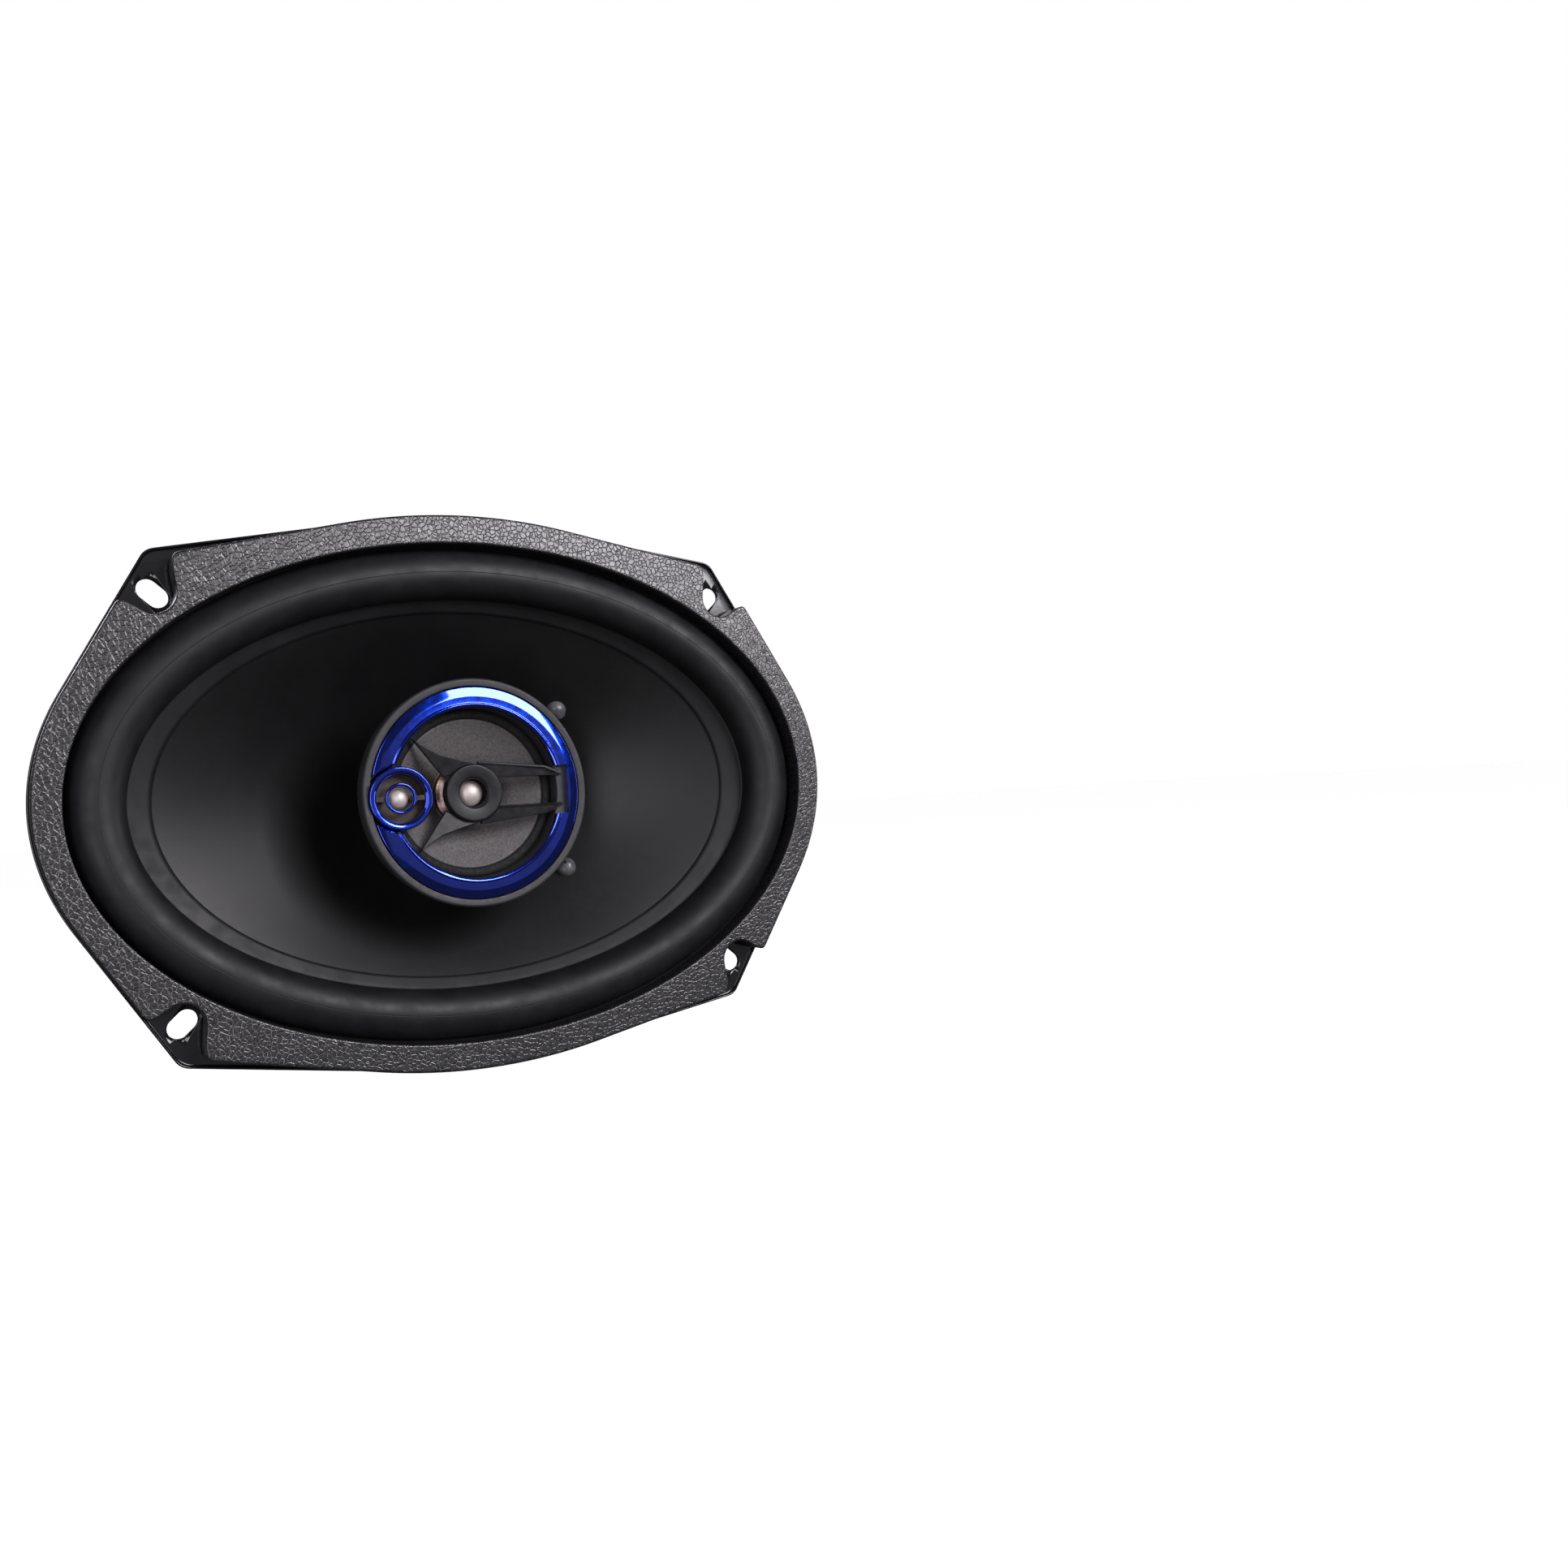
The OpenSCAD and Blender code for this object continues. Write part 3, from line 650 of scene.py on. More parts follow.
FINISHES = {  # by material slot
    "black_steel": painted_steel(), "gasket_vinyl": crinkled_vinyl(), "surround_rubber": rubber(),
    "cone_polymer": moulded_cone(), "bezel_plastic": textured_plastic(), "black_plastic": black_plastic(),
    "blue_chrome": blue_chrome(), "mid_paper": fibrous_paper(), "silver_film": bright_film(),
    "zinc_steel": zinc_steel(), "ferrite": ferrite(), "former": amber_former(),
    "copper_wire": wound_wire(), "spider_cloth": spider_cloth(), "braid": braid(),
    "glue": glossy_glue(), "board_fibre": fibre_board(), "tinned_brass": tinned_brass(),
    "cap_sleeve": shrink_sleeve(),
}


# ---- basket ----

def basket_section():
    """Closed loop of (half length, half height, z, share of the way to the rim, distance) round the
    sheet: out along its front, over the rim and back along its underside."""
    lip_z, outer_pot = FLANGE_Z - 0.6, POT_R + SHEET
    front = [(POT_HOLE, POT_HOLE, POT_Z, 0.3), (POT_R, POT_R, POT_Z, 2),
             (POT_R, POT_R, WALL_FOOT[2], 1.2), (*WALL_FOOT, 2.2), (*WALL_TOP, 4),
             (103.5, 67.1, -11, 4), (106.4, 70, -7, 4), (FLANGE_IN_A, FLANGE_IN_B, lip_z, 1.5)]
    flange = [(0, 0, FLANGE_TOP, 1.0), (0, 3, FLANGE_TOP, 0), (1, -RIM_T - 3, FLANGE_TOP, 0),
              (1, -RIM_T, FLANGE_TOP, 0.9), (1, -RIM_T, RIM_Z, 0.34), (1, 0, RIM_Z, 0.34),
              (1, 0, FLANGE_Z, 1.4), (1, -3, FLANGE_Z, 0), (0, 4, FLANGE_Z, 0), (0, SHEET, FLANGE_Z, 0.8)]
    back = [(FLANGE_IN_A + SHEET, FLANGE_IN_B + SHEET, lip_z, 1.0), (107.6, 71.2, -7.4, 4),
            (104.8, 68.4, -11.5, 4), (99.5, 63.6, -15.9, 4), (50.6, 50.6, -40.2, 2.6),
            (outer_pot, outer_pot, -40.2, 0.8), (outer_pot, outer_pot, POT_Z - SHEET, 2.6),
            (POT_HOLE, POT_HOLE, POT_Z - SHEET, 0.3)]
    points = [(a, b, z, 0, 0) for a, b, z, _ in front]
    points += [(FLANGE_IN_A, FLANGE_IN_B, z, share, far) for share, far, z, _ in flange]
    points += [(a, b, z, 0, 0) for a, b, z, _ in back]
    return rounded(points, [corner[3] for corner in front + flange + back], steps=4)


def basket_window(centre):
    """Cutter for one window of the slanting wall, with rounded corners."""
    high, low, steps = 0.86, 0.16, 6

    def wall_point(share, degrees):
        a, b = (WALL_FOOT[k] + (WALL_TOP[k] - WALL_FOOT[k]) * share for k in (0, 1))
        return a * cos(radians(degrees)), b * sin(radians(degrees))

    turns = [centre + WINDOW_SPAN * i / steps for i in range(-steps, steps + 1)]
    edge = [wall_point(high, t) for t in turns] + [wall_point(low, t) for t in reversed(turns)]
    radii = ([WINDOW_R] + [0] * (len(turns) - 2) + [WINDOW_R]) * 2
    below, above = WALL_FOOT[2] - 4, WALL_TOP[2] + 1
    return prism("window", rounded(edge, radii, 5), below, above, FINISHES["black_steel"])


def build_basket():
    steel = FINISHES["black_steel"]
    angles = ring_angles(1.2, 0.3)
    base, normals = oval_frame(FLANGE_IN_A, FLANGE_IN_B, angles)
    rim = reach(base, normals, [eared_oval(FLANGE_A, FLANGE_B, FLANGE_EAR)])
    grid = []
    for a, b, z, share, far in basket_section():
        oval = np.stack([a * np.cos(angles), b * np.sin(angles)], 1)
        flat = oval + normals * (share * rim + far)[:, None]
        grid.append(np.column_stack([flat, np.full(len(flat), z)]))
    basket = skin("basket_pressing", grid, steel)
    slots = [prism("slot", outline, FLANGE_Z - 2, RIM_Z + 1, steel) for outline in mirrored(slot_outline())]
    windows = [basket_window((k + 0.5) * 360 / RIBS) for k in range(RIBS)]
    cut(basket, slots + windows)
    place(basket, "frame", "basket")


# ---- gasket ----

def gasket_width(base, normals):
    """How wide the ring is on each ray from its opening, with the corners of its notches softened."""
    bare_rim, passes = 0.6, 9  # the rim outside the ring, and rounds of smoothing
    notch_x, notch_y = SLOT[0] + 1.1, SLOT[1]
    beyond_x, beyond_y = 125, 90  # past the flange's corner
    notch = [(79, notch_y), (79, beyond_y), (beyond_x, beyond_y), (beyond_x, 56.2), (88, 56.2)]
    shapes = [eared_oval(FLANGE_A - bare_rim, FLANGE_B - bare_rim, GASKET_EAR)]
    shapes += mirrored(notch) + mirrored(circle(notch_x, notch_y, NOTCH_R))
    width = reach(base, normals, shapes)
    for _ in range(passes):
        width = (np.roll(width, 1) + width * 2 + np.roll(width, -1)) / 4
    return width


def gasket_line(width):
    """The ring's section in points (distance from the opening, z): up, over the face and down."""
    across, overhang = 24, 1.4
    base_z, over_rim = FLANGE_TOP + 0.05, RIM_Z + 0.06
    r_in, r_out = (min(r, width * 0.4) for r in (0.5, 0.8))
    quarter = [radians(a) for a in (0, 22, 45, 68, 90)]
    line = [(0, base_z), (0, base_z + 3), (0, base_z + 6)]
    line += [(r_in * (1 - cos(a)), FACE_Z - r_in * (1 - sin(a))) for a in quarter]
    line += [(r_in + (width - r_in - r_out) * k / across, FACE_Z) for k in range(1, across)]
    line += [(width - r_out * (1 - cos(a)), FACE_Z - r_out * (1 - sin(a)))
             for a in reversed(quarter)]
    return line + [(width, over_rim), (width - overhang, over_rim), (width - overhang, base_z)]


def build_gasket():
    """The crinkled ring: its lower part stands inside the flange's rim, and its upper part covers
    the rim. Its face is a little uneven, and the rows at its two sides are true."""
    count, side_rows = 1500, 4
    depth, lump = 0.04, 2.6
    angles = np.linspace(0, 2 * pi, count, endpoint=False)
    base, normals = oval_frame(OPEN_A, OPEN_B, angles)
    columns = [[(*(start + out * u), z) for u, z in gasket_line(width)]
               for width, start, out in zip(gasket_width(base, normals), base, normals)]
    grid = np.array(columns).transpose(1, 0, 2)
    for line in grid[side_rows:-side_rows]:
        for point in line:
            point[2] -= depth * (0.5 + noise.noise(Vector(point) / lump))
    gasket = skin("gasket_vinyl_ring", grid, FINISHES["gasket_vinyl"])
    place(gasket, "frame", "gasket")


# ---- surround, cone and spider ----

def roll_point(degrees, lift):
    """Point of the surround's half roll, from its outer foot at 0 degrees to its inner foot at 180."""
    t = radians(degrees)
    outer = np.array([OPEN_A - 1, OPEN_B - 1, FLANGE_TOP + 0.2])
    inner = np.array([CONE_A + 0.2, CONE_B + 0.2, CONE_EDGE_Z + 0.5])
    rise = np.array([-0.22, -0.22, 0.95]) * ROLL_H
    middle = (outer + inner) / 2 + (outer - inner) / 2 * cos(t) + rise * sin(t)
    return middle + lift * np.array([cos(t), cos(t), sin(t)])


def surround_outside(lift):
    """The surround's line from its glued outer lip up to the crest of the roll."""
    lip = [np.array([OPEN_A + out, OPEN_B + out, FLANGE_TOP + 0.1 + lift]) for out in (3.8, 0.8, -0.4)]
    return rounded(lip + [roll_point(a, lift) for a in range(12, CREST + 1, 2)], 0.5, 2, closed=False)


def surround_inside(lift, lip):
    """The surround's line from the crest of the roll down to its inner lip on the cone."""
    roll = [roll_point(a, lift) for a in range(CREST, 169, 2)]
    foot = np.array([CONE_A - 0.2, CONE_B - 0.2, CONE_EDGE_Z + 0.2 + lift])
    glued = [np.array(cone_oval(1 - 0.0225 * k)) + np.array([0, 0, 0.12 + lip]) for k in range(5)]
    return rounded(roll + [foot] + glued, 0.5, 2, closed=False)


def cone_oval(share):
    """The cone's front face: share runs from the neck, 0, to the edge, 1."""
    neck, edge_gap, bow = FORMER_R + 0.12, 0.4, 1.1
    return (neck + (CONE_A - edge_gap - FORMER_R) * share,
            neck + (CONE_B - edge_gap - FORMER_R) * share,
            CONE_NECK_Z + (CONE_EDGE_Z - CONE_NECK_Z) * (1 - (1 - share) ** bow))


def build_surround():
    """The outer half of the roll rides on the frame, and the inner half is a separate piece that is
    attached to no body.
    """
    finish, count = FINISHES["surround_rubber"], 300
    section = surround_outside(ROLL_T) + surround_outside(0.0)[::-1]
    place(skin("surround_outside", oval_grid(section, count), finish), "frame", "surround")
    section = surround_inside(ROLL_T, LIP_T) + surround_inside(0.0, 0.0)[::-1]
    inside = skin("surround_inside", oval_grid(section, count), finish)
    stretch(inside, "surround")


def build_cone():
    steps, wall = 30, 0.7
    shares = [k / steps for k in range(steps + 1)]
    front = [cone_oval(s) for s in reversed(shares)]
    back = [(a, b, z - wall) for a, b, z in map(cone_oval, shares)]
    cone = skin("cone_shell", oval_grid(front + back, 300), FINISHES["cone_polymer"])
    place(cone, "woofer_cone", "cone")


def radial_segments(name, section, node, finish):
    """A ring of equal segments, each its own piece over its share of the circle."""
    count, per_segment = 24, 8
    line = np.array(section, float)
    for s in range(count):
        first = 2 * pi * s / count
        t = first + np.linspace(0, 2 * pi / count, per_segment + 1)
        x, y = line[:, 0:1] * np.cos(t), line[:, 0:1] * np.sin(t)
        grid = np.stack([x, y, np.repeat(line[:, 1:2], per_segment + 1, 1)], -1)
        piece = skin(f"{name}_{s + 1:02d}", grid, finish, around=False)
        stretch(piece, node)


def build_spider():
    inner, outer, waves, steps = FORMER_R + 0.1, POT_R + 0.3, 7, 140
    wave_h, half_t, lip_r, seat_z = 0.55, 0.25, 45, WALL_FOOT[2]
    middle = [(inner + (outer - inner) * i / steps,
               seat_z + wave_h * cos(2 * pi * waves * i / steps)) for i in range(steps + 1)]
    upper = [(r, z + half_t) for r, z in middle] + [(lip_r, seat_z + 0.8)]
    lower = [(lip_r, seat_z + 0.15), (outer, seat_z + 0.15)] + [(r, z - half_t) for r, z in middle[-2::-1]]
    radial_segments("spider_part", upper + lower, "spider",
                    FINISHES["spider_cloth"])


# ---- midrange pod ----

def build_bezel():
    clearance = 0.35
    section = [(TRIM_IN, 0.9), (26.4, 0.9), (26.4, 4.6), (31.6, 4.6), (31.2, -1), (32.9, -1),
               (BEZEL_R, BEZEL_Z - 0.6), (BEZEL_R - 0.5, BEZEL_Z), (TRIM_R + 0.25, BEZEL_Z - 0.15),
               (TRIM_R + 0.25, DECK_Z), (TRIM_IN, DECK_Z)]
    radii = [0.1, 0.1, 0.1, 0.1, 0.1, 0.4, 0.3, 0.25, 0.15, 0.1, 0.3]
    plastic = FINISHES["bezel_plastic"]
    bezel = turned("bezel_ring", rounded(section, radii, 4), plastic, 256)
    hole = prism("hole", circle(-SUPER_X, -SUPER_DROP, SUPER_R + clearance, 96), 0, 12, plastic)
    cut(bezel, [hole])
    place(bezel, "frame", "bezel")


def build_trim():
    """The blue ring, open round the super tweeter and notched for the bridge's foot."""
    section = [(TRIM_IN, DECK_Z + 0.1), (TRIM_R, DECK_Z + 0.1), (TRIM_R, 7.8), (TRIM_R - 0.2, 8.12),
               (28.5, 8.6), (TRIM_IN + 1.3, 8.6), (TRIM_IN + 0.85, 8.85), (TRIM_IN, 8.5)]
    section = rounded(section, [0.1, 0.1, 0.15, 0.15, 0.5, 0.12, 0.2, 0.2], 4)
    opening_r, steps = 10.2, 320
    far = hypot(SUPER_X, SUPER_DROP)
    middle = pi + atan2(SUPER_DROP, SUPER_X)
    grid = []
    for r, z in section:
        opened = acos((r * r + far * far - opening_r * opening_r) / (2 * r * far))
        t = np.linspace(middle + opened, middle + 2 * pi - opened, steps + 1)
        grid.append(np.stack([r * np.cos(t), r * np.sin(t), np.full(steps + 1, z)], -1))
    ring = skin("trim_ring_blue", grid, FINISHES["blue_chrome"], around=False, caps=True)
    notch = [(20, -7.5), (27.8, -7.5), (27.8, 7.0), (20, 7.0)]
    cut(ring, [prism("notch", notch, DECK_Z - 1, BEZEL_Z + 3, FINISHES["blue_chrome"])])
    bevel(ring, 0.2, 2, 50)
    place(ring, "frame", "trim_ring")


def build_midrange():
    """The midrange's paper cone and the stepped dome in its middle."""
    cone = rounded([(9.7, -6.9), (10.4, -6.9), (22, -0.15), (MID_R, -0.1), (MID_R, MID_Z), (21.6, MID_Z),
                    (15.5, -3.3), (9.7, -6.2)], [0.1, 0.1, 0.2, 0.1, 0.1, 0.3, 6, 0.1], 6)
    place(turned("mid_paper_cone", cone, FINISHES["mid_paper"]), "midrange_cone", "mid_cone")
    dome_t = 0.3
    steps = [(9.4, -6.2), (9.3, -5.7), (8.6, -5.35), (8.2, -5.25), (7.6, -4.75), (7.2, -4.7), (6.0, -4.1),
             (4.0, -3.65), (2.0, -3.45), (0.0, -3.4)]
    under = [(r, z - dome_t) for r, z in reversed(steps)]
    dome = turned("mid_dust_dome", under + steps, bronze_film())
    place(dome, "midrange_cone", "mid_dome")


def build_mid_surround():
    """The midrange's half roll, between its glued outer and inner lips."""
    outer_lip, inner_lip, foam_t = 26.4, 22.05, 0.3
    middle, half, rise = (MID_R + 24.8) / 2, 1.2, 0.8

    def roll(width, height, degrees):
        return [(middle + width * cos(radians(a)),
                 MID_Z + foam_t + height * sin(radians(a))) for a in degrees]

    section = [(outer_lip, MID_Z + 0.05), (outer_lip, MID_Z + 0.35)] + roll(half, rise, range(0, 181, 10))
    section += [(inner_lip, MID_Z + foam_t), (inner_lip, MID_Z + 0.08)]
    section += roll(half - foam_t, rise - foam_t, range(180, -1, -10))
    radial_segments("mid_surround_part", section, "mid_surround", foam())


def build_bridge():
    """The hub over the midrange, its two pointed blades and its two rails."""
    plastic = FINISHES["black_plastic"]
    hub = rounded([(HUB_BORE, 1.6), (HUB_R, 1.6), (HUB_R, HUB_Z - 0.5), (HUB_R - 0.4, HUB_Z),
                   (HUB_BORE + 0.5, HUB_Z - 0.25), (HUB_BORE, HUB_Z - 0.7)],
                  [0, 0.1, 0.25, 0.3, 0.3, 0.3], 4)
    place(turned("bridge_hub", hub, plastic), "frame", "bridge")
    blade = [(-17.3, 16.7), (-14.3, 14.4), (-9.6, 11.7), (-3.4, 9.9), (2.6, 8.4), (3, 6.5), (-4, 6.2),
             (-8.6, 5.1)]
    for side, name in ((1, "upper"), (-1, "lower")):
        edge = [(x, y * side) for x, y in blade]
        crown = prism(f"bridge_blade_{name}", edge, 2.2, lambda x, y: 2.6 + 0.1 * abs(y), plastic)
        bevel(crown, 0.2, 2)
        place(crown, "frame", "bridge")
        build_rail(side, name)


def rail_top(x):
    """Height of a rail's upper side: it climbs to its foot and falls off past it."""
    hub_z, foot_z, fall = 3.7, 8.0, 0.28
    climbed = min(1, max(0, (x - RAIL_FROM) / (RAIL_FOOT - RAIL_FROM)))
    return hub_z + (foot_z - hub_z) * climbed - max(0, x - RAIL_FOOT) * fall


def rail_low(x):
    """Height of its underside, which comes to rest on the bezel's deck."""
    hub_z, foot_z, run = 1.8, DECK_Z + 0.1, 21.4
    return min(foot_z, hub_z + (foot_z - hub_z) * max(0, x - RAIL_FROM) / run)


def rail_edge(x):
    """How far a rail's outer edge is from the middle line: it tapers, and faster from a bend on."""
    hub_y, bend_y, bend_x, foot_taper = 9.4, 7.2, 21, 0.42
    if x < bend_x:
        return hub_y - (hub_y - bend_y) * (x - RAIL_FROM) / (bend_x - RAIL_FROM)
    return bend_y - (x - bend_x) * foot_taper


def build_rail(side, name):
    """One tapering rail from the hub to its foot on the bezel's deck, with a raised edge on each side."""
    stations = [RAIL_FROM, 6, 10, 14, 18, 21, RAIL_FOOT, 26.3]
    strips = (("web", lambda x: 4.5, lambda x: rail_edge(x) - 0.4, 0.5),
              ("outer_edge", lambda x: rail_edge(x) - 0.75, rail_edge, 0.0),
              ("inner_edge", lambda x: 4.1, lambda x: 4.8, 0.0))
    for part, inner, outer, drop in strips:
        edge = [(x, side * outer(x)) for x in stations] + [(x, side * inner(x)) for x in reversed(stations)]
        piece = prism(f"bridge_rail_{name}_{part}", edge, lambda x, y: rail_low(x),
                      lambda x, y, drop=drop: rail_top(x) - drop, FINISHES["black_plastic"])
        bevel(piece, 0.18, 2)
        place(piece, "frame", "bridge")


def cap_section(base, z, rise, thick=0.3, steps=16):
    """A thin spherical cap from the axis out and back."""
    ball = (base * base + rise * rise) / (2 * rise)
    half = asin(min(1, base / ball))

    def arc(r, order):
        return [(r * sin(half * i / steps), z + rise - ball + r * cos(half * i / steps))
                for i in order]

    return arc(ball, range(steps + 1)) + arc(ball - thick, range(steps, -1, -1))


def build_tweeters():
    """The dome in the hub, and the super tweeter's two blue rings and its dome."""
    film, blue = FINISHES["silver_film"], FINISHES["blue_chrome"]
    dome = turned("tweeter_dome_film", cap_section(3.9, 0.1, 2.2), film, 96)
    place(dome, "frame", "tweeter_dome")
    centre = (-SUPER_X, -SUPER_DROP)
    outer = rounded([(7.45, 7.05), (SUPER_R, 7.05), (SUPER_R, 8.15), (SUPER_R - 0.35, 8.5), (7.8, 8.4),
                     (7.1, 7.85), (7.1, 7.6), (7.45, 7.6)], [0.1, 0.1, 0.2, 0.2, 0.1, 0.1, 0, 0], 4)
    outer_ring = turned("super_ring_outer", outer, blue, 160, centre)
    place(outer_ring, "frame", "super_tweeter_ring")
    inner = rounded([(3.5, 7.45), (4.5, 7.45), (4.5, 8.05), (4.25, 8.3), (3.9, 8.28), (3.5, 7.85)],
                    [0.1, 0.1, 0.15, 0.15, 0.1, 0.1], 4)
    inner_ring = turned("super_ring_inner", inner, blue, 96, centre)
    place(inner_ring, "frame", "super_tweeter_inner_ring")
    cap = turned("super_dome_film", cap_section(3.1, 4.1, 2.6), film, 96, centre)
    place(cap, "frame", "super_tweeter_dome")


# ---- eyelets and leads ----

def cone_frame():
    """Matrix that puts a piece on the cone at the upper eyelet, with its z out of the cone's front."""
    share, turn = EYELET

    def at(s, degrees):
        a, b, z = cone_oval(s)
        return Vector((a * cos(radians(degrees)), b * sin(radians(degrees)), z))

    here = at(share, turn)
    outward, around = at(share + 0.01, turn) - here, at(share, turn + 1) - here
    turn_to = outward.cross(around).to_track_quat("Z", "Y").to_matrix().to_4x4()
    return Matrix.Translation(here) @ turn_to


def build_eyelets():
    """The eyelets through the cone, each under a slightly lumpy dome of glue."""
    glue_r, glue_h, count = 3.1, 2.5, 64
    swelling, lump, apart = 0.07, 2.2, 9
    arc = [radians(a) for a in range(90, -1, -6)]
    section = [(glue_r * cos(a), 0.15 + glue_h * sin(a)) for a in arc]
    section += [(3.2, 0.08), (1.4, 0.0), (1.4, -1.0), (2.2, -1.05), (2.1, -1.75), (0, -1.8)]
    on_cone = cone_frame()
    for side, name in ((1, "upper"), (-1, "lower")):
        grid = turned_grid(section, count)
        for point in grid[1:len(arc)].reshape(-1, 3):
            x, y, z = point
            point *= 1 + swelling * noise.noise(Vector((x, y, z + side * apart)) / lump)
        lines = [[on_cone @ Vector(point) for point in line] for line in grid]
        grid = np.array([[(p.x, p.y * side, p.z) for p in line] for line in lines])
        piece = skin(f"eyelet_{name}", grid, FINISHES["glue"], across=False)
        place(piece, "woofer_cone", "cone_eyelets")


def smooth_path(points, steps=10):
    """A curve through the points (Catmull-Rom)."""
    points = [Vector(p) for p in points]
    padded = [points[0] * 2 - points[1]] + points + [points[-1] * 2 - points[-2]]
    out = []
    for a, b, c, d in zip(padded, padded[1:], padded[2:], padded[3:]):
        for k in range(steps):
            t = k / steps
            curve = (a * 2 - b * 5 + c * 4 - d) * t * t + (b * 3 - a - c * 3 + d) * t ** 3
            out.append(0.5 * (b * 2 + (c - a) * t + curve))
    return out + [points[-1]]


def twisted_lead(name, path, radius, strands, finish):
    """A lead of twisted strands along a path, as one mesh."""
    path = smooth_path(path)
    sides, strand_r, pitch = 8, radius * 0.52, radius * 7
    verts, faces = [], []
    travelled = [0.0]
    for a, b in zip(path, path[1:]):
        travelled.append(travelled[-1] + (b - a).length)
    for s in range(strands):
        first = len(verts)
        for i, p in enumerate(path):
            ahead = (path[min(i + 1, len(path) - 1)] - path[max(i - 1, 0)]).normalized()
            u = ahead.cross(Vector((0.3, 1, 0.2))).normalized()
            v = ahead.cross(u)
            turn = 2 * pi * (travelled[i] / pitch + s / strands)
            middle = p + (u * cos(turn) + v * sin(turn)) * (radius - strand_r)
            for k in range(sides):
                a = 2 * pi * k / sides
                verts.append(row(*(middle + (u * cos(a) + v * sin(a)) * strand_r)))
        for i in range(len(path) - 1):
            for k in range(sides):
                here, on = first + i * sides + k, first + i * sides + (k + 1) % sides
                faces.append((here, on, on + sides, here + sides))
        faces.append(tuple(first + k for k in range(sides)))
        faces.append(tuple(first + (len(path) - 1) * sides + k for k in reversed(range(sides))))
    mesh = bpy.data.meshes.new(name)
    mesh.from_pydata(verts, [], faces)
    close_up(mesh)
    return add_object(name, mesh, finish)


TINSEL_PATH = [(37.3, 26, -23), (37.6, 25.6, -26), (39, 23.6, -28.2), (43.5, 20.4, -29.3),
               (49, 16.6, -30), (54.5, 13.2, -30.9), (59.2, 10.7, -32.2), (61.8, 9.6, -34.3)]
POD_LEAD_PATH = [(35, 23.4, -17.5), (34.6, 23.2, -16.2), (33.6, 22.8, -15), (30.4, 20.4, -14),
                 (26.8, 17.8, -13.1), (22.9, 15.3, -12.7)]


def build_leads():
    """Two tinsel leads behind the cone and two leads to the pod, each from the cone to the frame."""
    sets = (("tinsel_lead", TINSEL_PATH, "tinsel_leads", "braid", FINISHES["braid"]),
            ("pod_lead", POD_LEAD_PATH, "pod_leads", "black_plastic", lead_sleeve()))
    for name, path, node, slot, finish in sets:
        for side, which in ((1, "upper"), (-1, "lower")):
            route = [(x, y * side, z) for x, y, z in path]
            lead = twisted_lead(f"{name}_{which}", route, LEAD_R, STRANDS, finish)
            stretch(lead, node)


# ---- CAD nodes that stay ----

def finish_nodes():
    """Gives every CAD node that still shows its finish and softer edges."""
    for name, obj in NODES.items():
        if obj.hide_render:
            continue
        obj.data.materials.clear()
        obj.data.materials.append(FINISHES[SLOTS[name]])
        weld = obj.modifiers.new("join", "WELD")
        weld.merge_threshold = MM / 1000
        bevel(obj, 0.18, 2, 40)
    NODES["negative_terminal"].data.materials[0] = tinned_tab()
    NODES["super_tweeter_body"].data.materials[0] = dark_recess()


# ---- stage, lights and camera ----

LIGHT_COLOUR = (1.0, 0.965, 1.02)  # a little magenta
LIGHT_DISTANCE = 1.3  # metres
CAMERA_PLACE = (-0.13224, -0.42992, -0.00404)
CAMERA_TURN = (88.427, 3.359, -29.318)  # degrees about X, Y and Z


def build_stage():
    """A pale floor, partly clear, so that it meets the white surroundings without a line."""
    floor_z, half = CAD_BOX[0].z, 6.0
    mesh = bpy.data.meshes.new("floor")
    corners = [(-half, -half), (half, -half), (half, half), (-half, half)]
    mesh.from_pydata([(x, y, floor_z) for x, y in corners], [], [(0, 1, 2, 3)])
    pale = Finish("floor", (0.86, 0.86, 0.86), 0.6, Alpha=0.25,
                  Emission_Color=(1, 1, 1, 1), Emission_Strength=0.9)
    pale.tint(pale.grain(400, 3), (0.85, 0.85, 0.85), (0.88, 0.88, 0.88))
    plane = add_object("floor", mesh, pale.material, smooth=False)
    plane.visible_diffuse = False
    plane.visible_glossy = False


def softbox(name, azimuth, elevation, size, radiance):
    """A soft rectangular light, size metres across, that faces the speaker.
    Azimuth 0 is in front of the speaker and 90 on its +X side."""
    a, e = radians(azimuth), radians(elevation)
    towards = Vector((sin(a) * cos(e), -cos(a) * cos(e), sin(e)))
    light = bpy.data.lights.new(name, "AREA")
    light.shape = "RECTANGLE"
    light.size, light.size_y = size
    light.energy = radiance * pi * size[0] * size[1]
    light.color = LIGHT_COLOUR
    obj = bpy.data.objects.new(name, light)
    obj.location = towards * LIGHT_DISTANCE
    obj.rotation_mode = "QUATERNION"
    obj.rotation_quaternion = (-towards).to_track_quat("-Z", "Y")
    bpy.context.scene.collection.objects.link(obj)


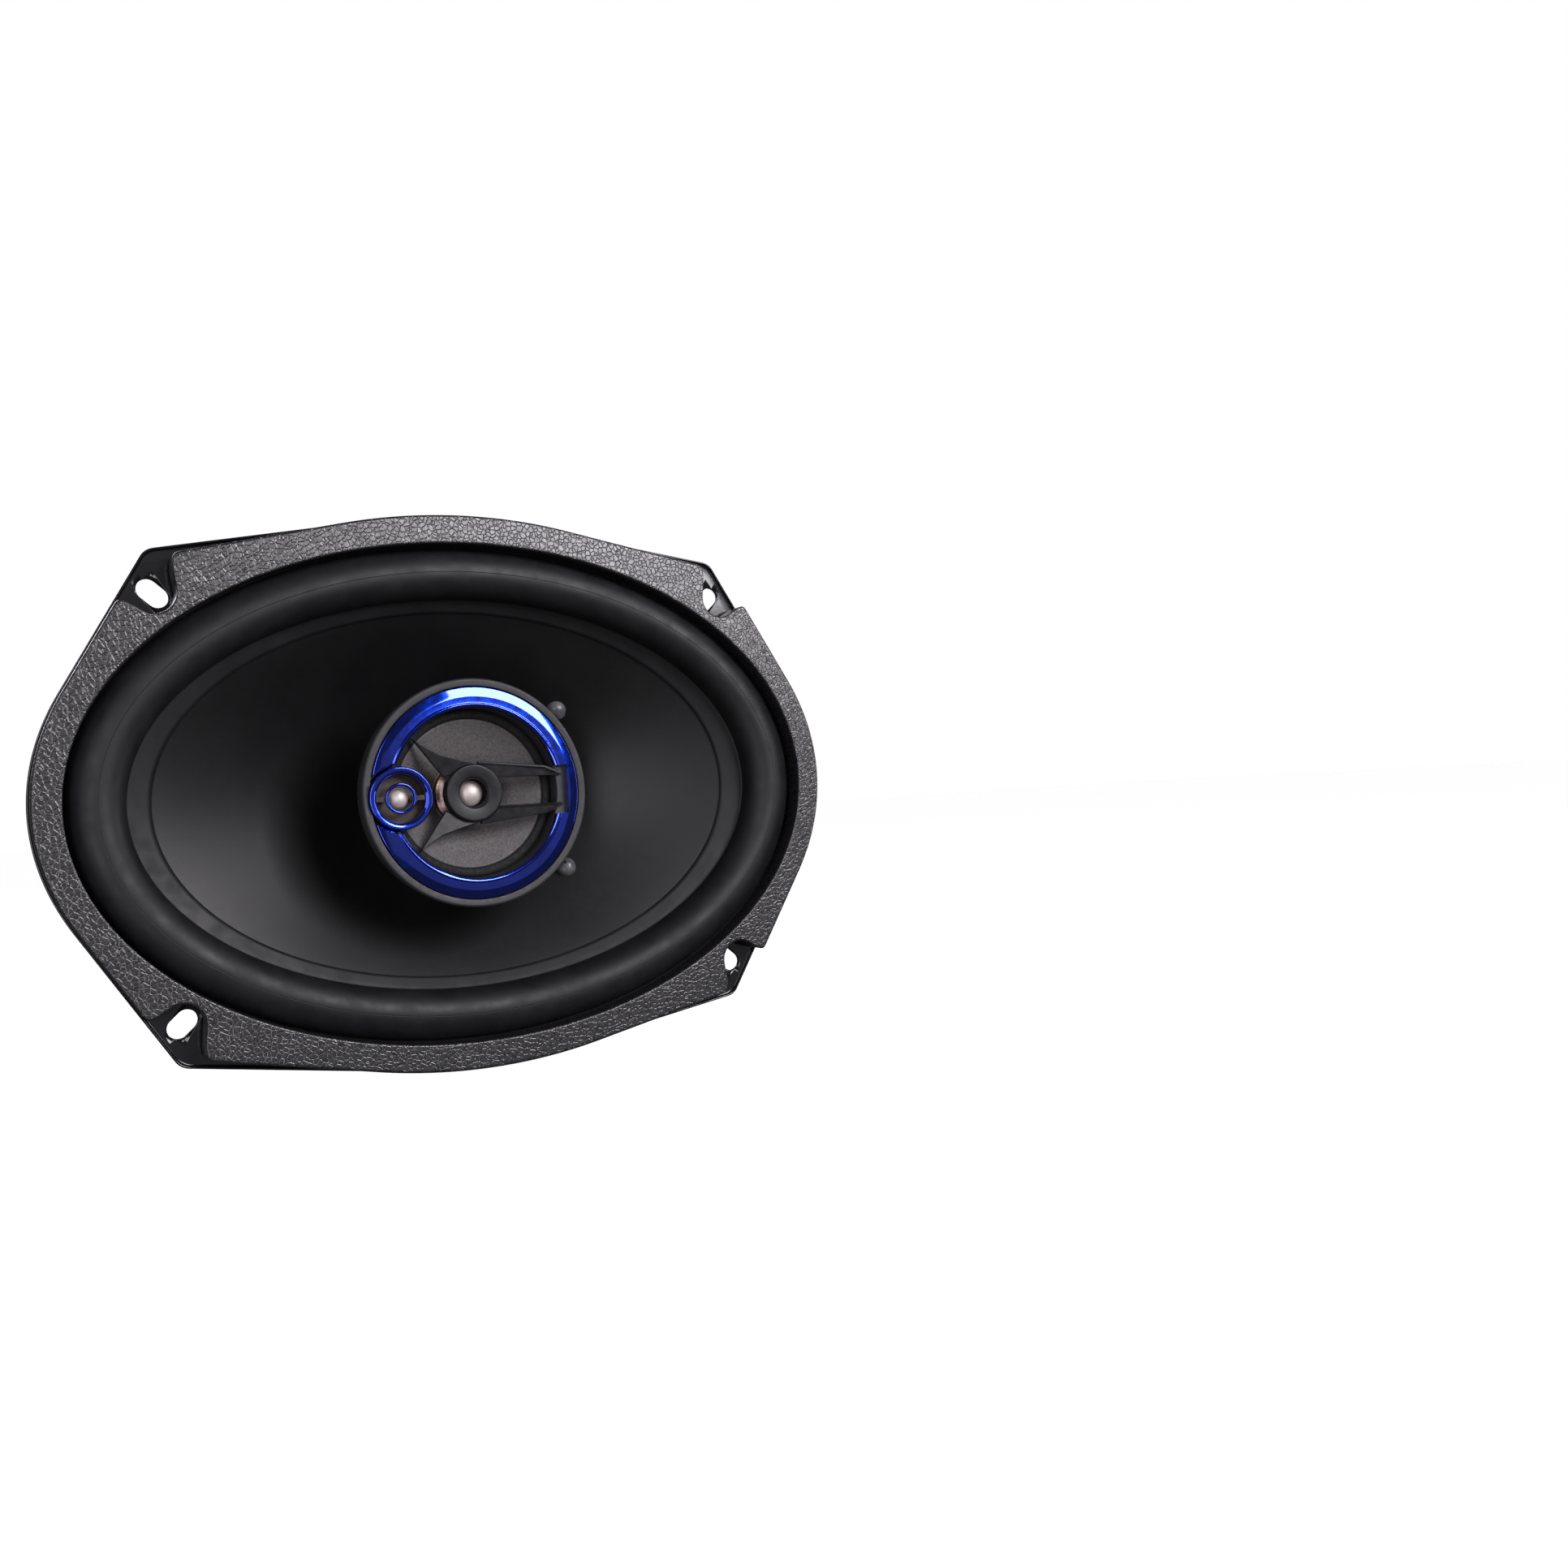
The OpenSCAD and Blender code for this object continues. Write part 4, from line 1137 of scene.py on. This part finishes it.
def build_world():
    """White where the camera looks past the object, and a dim fill for everything else."""
    white, dim = 1.0, 0.07
    world = bpy.data.worlds.new("studio")
    bpy.context.scene.world = world
    world.use_nodes = True
    tree = world.node_tree
    seen, unseen = tree.nodes["Background"], tree.nodes.new("ShaderNodeBackground")
    for background, strength in ((seen, white), (unseen, dim)):
        fill(background, Color=(1, 1, 1, 1), Strength=strength)
    mix, path = tree.nodes.new("ShaderNodeMixShader"), tree.nodes.new("ShaderNodeLightPath")
    tree.links.new(path.outputs["Is Camera Ray"], mix.inputs["Fac"])
    tree.links.new(unseen.outputs[0], mix.inputs[1])
    tree.links.new(seen.outputs[0], mix.inputs[2])
    tree.links.new(mix.outputs[0], tree.nodes["World Output"].inputs["Surface"])


def build_lights():
    """A key light above right, a dim panel in front, three tall strips that draw the cone's satin
    bands, and two boxes behind."""
    softbox("key_box", 27, 22, (0.62, 0.58), 12)
    softbox("front_panel", 12, -2, (1.0, 0.7), 0.16)
    softbox("cone_box", -29, 2, (0.36, 1.1), 4.8)
    softbox("right_box", 80, 6, (0.30, 0.9), 4)
    softbox("left_box", -60, 8, (0.35, 0.9), 1.2)
    softbox("rear_left_box", 205, 30, (0.9, 0.7), 5)
    softbox("rear_right_box", 140, 15, (0.5, 0.9), 3)


def build_camera():
    """A camera left of the speaker's axis, level with its middle and rolled a little."""
    camera = bpy.data.cameras.new("camera")
    camera.lens = 33.64
    camera.sensor_width = 36
    camera.shift_y = 0.0285
    camera.clip_start = 0.01
    obj = bpy.data.objects.new("camera", camera)
    obj.location = CAMERA_PLACE
    obj.rotation_euler = [radians(angle) for angle in CAMERA_TURN]
    bpy.context.scene.collection.objects.link(obj)
    bpy.context.scene.camera = obj
    bpy.context.scene.view_settings.view_transform = "Standard"


build_camera()
build_basket()
build_gasket()
build_surround()
build_cone()
build_spider()
build_bezel()
build_trim()
build_midrange()
build_mid_surround()
build_bridge()
build_tweeters()
build_eyelets()
build_leads()
finish_nodes()
build_stage()
build_lights()
build_world()
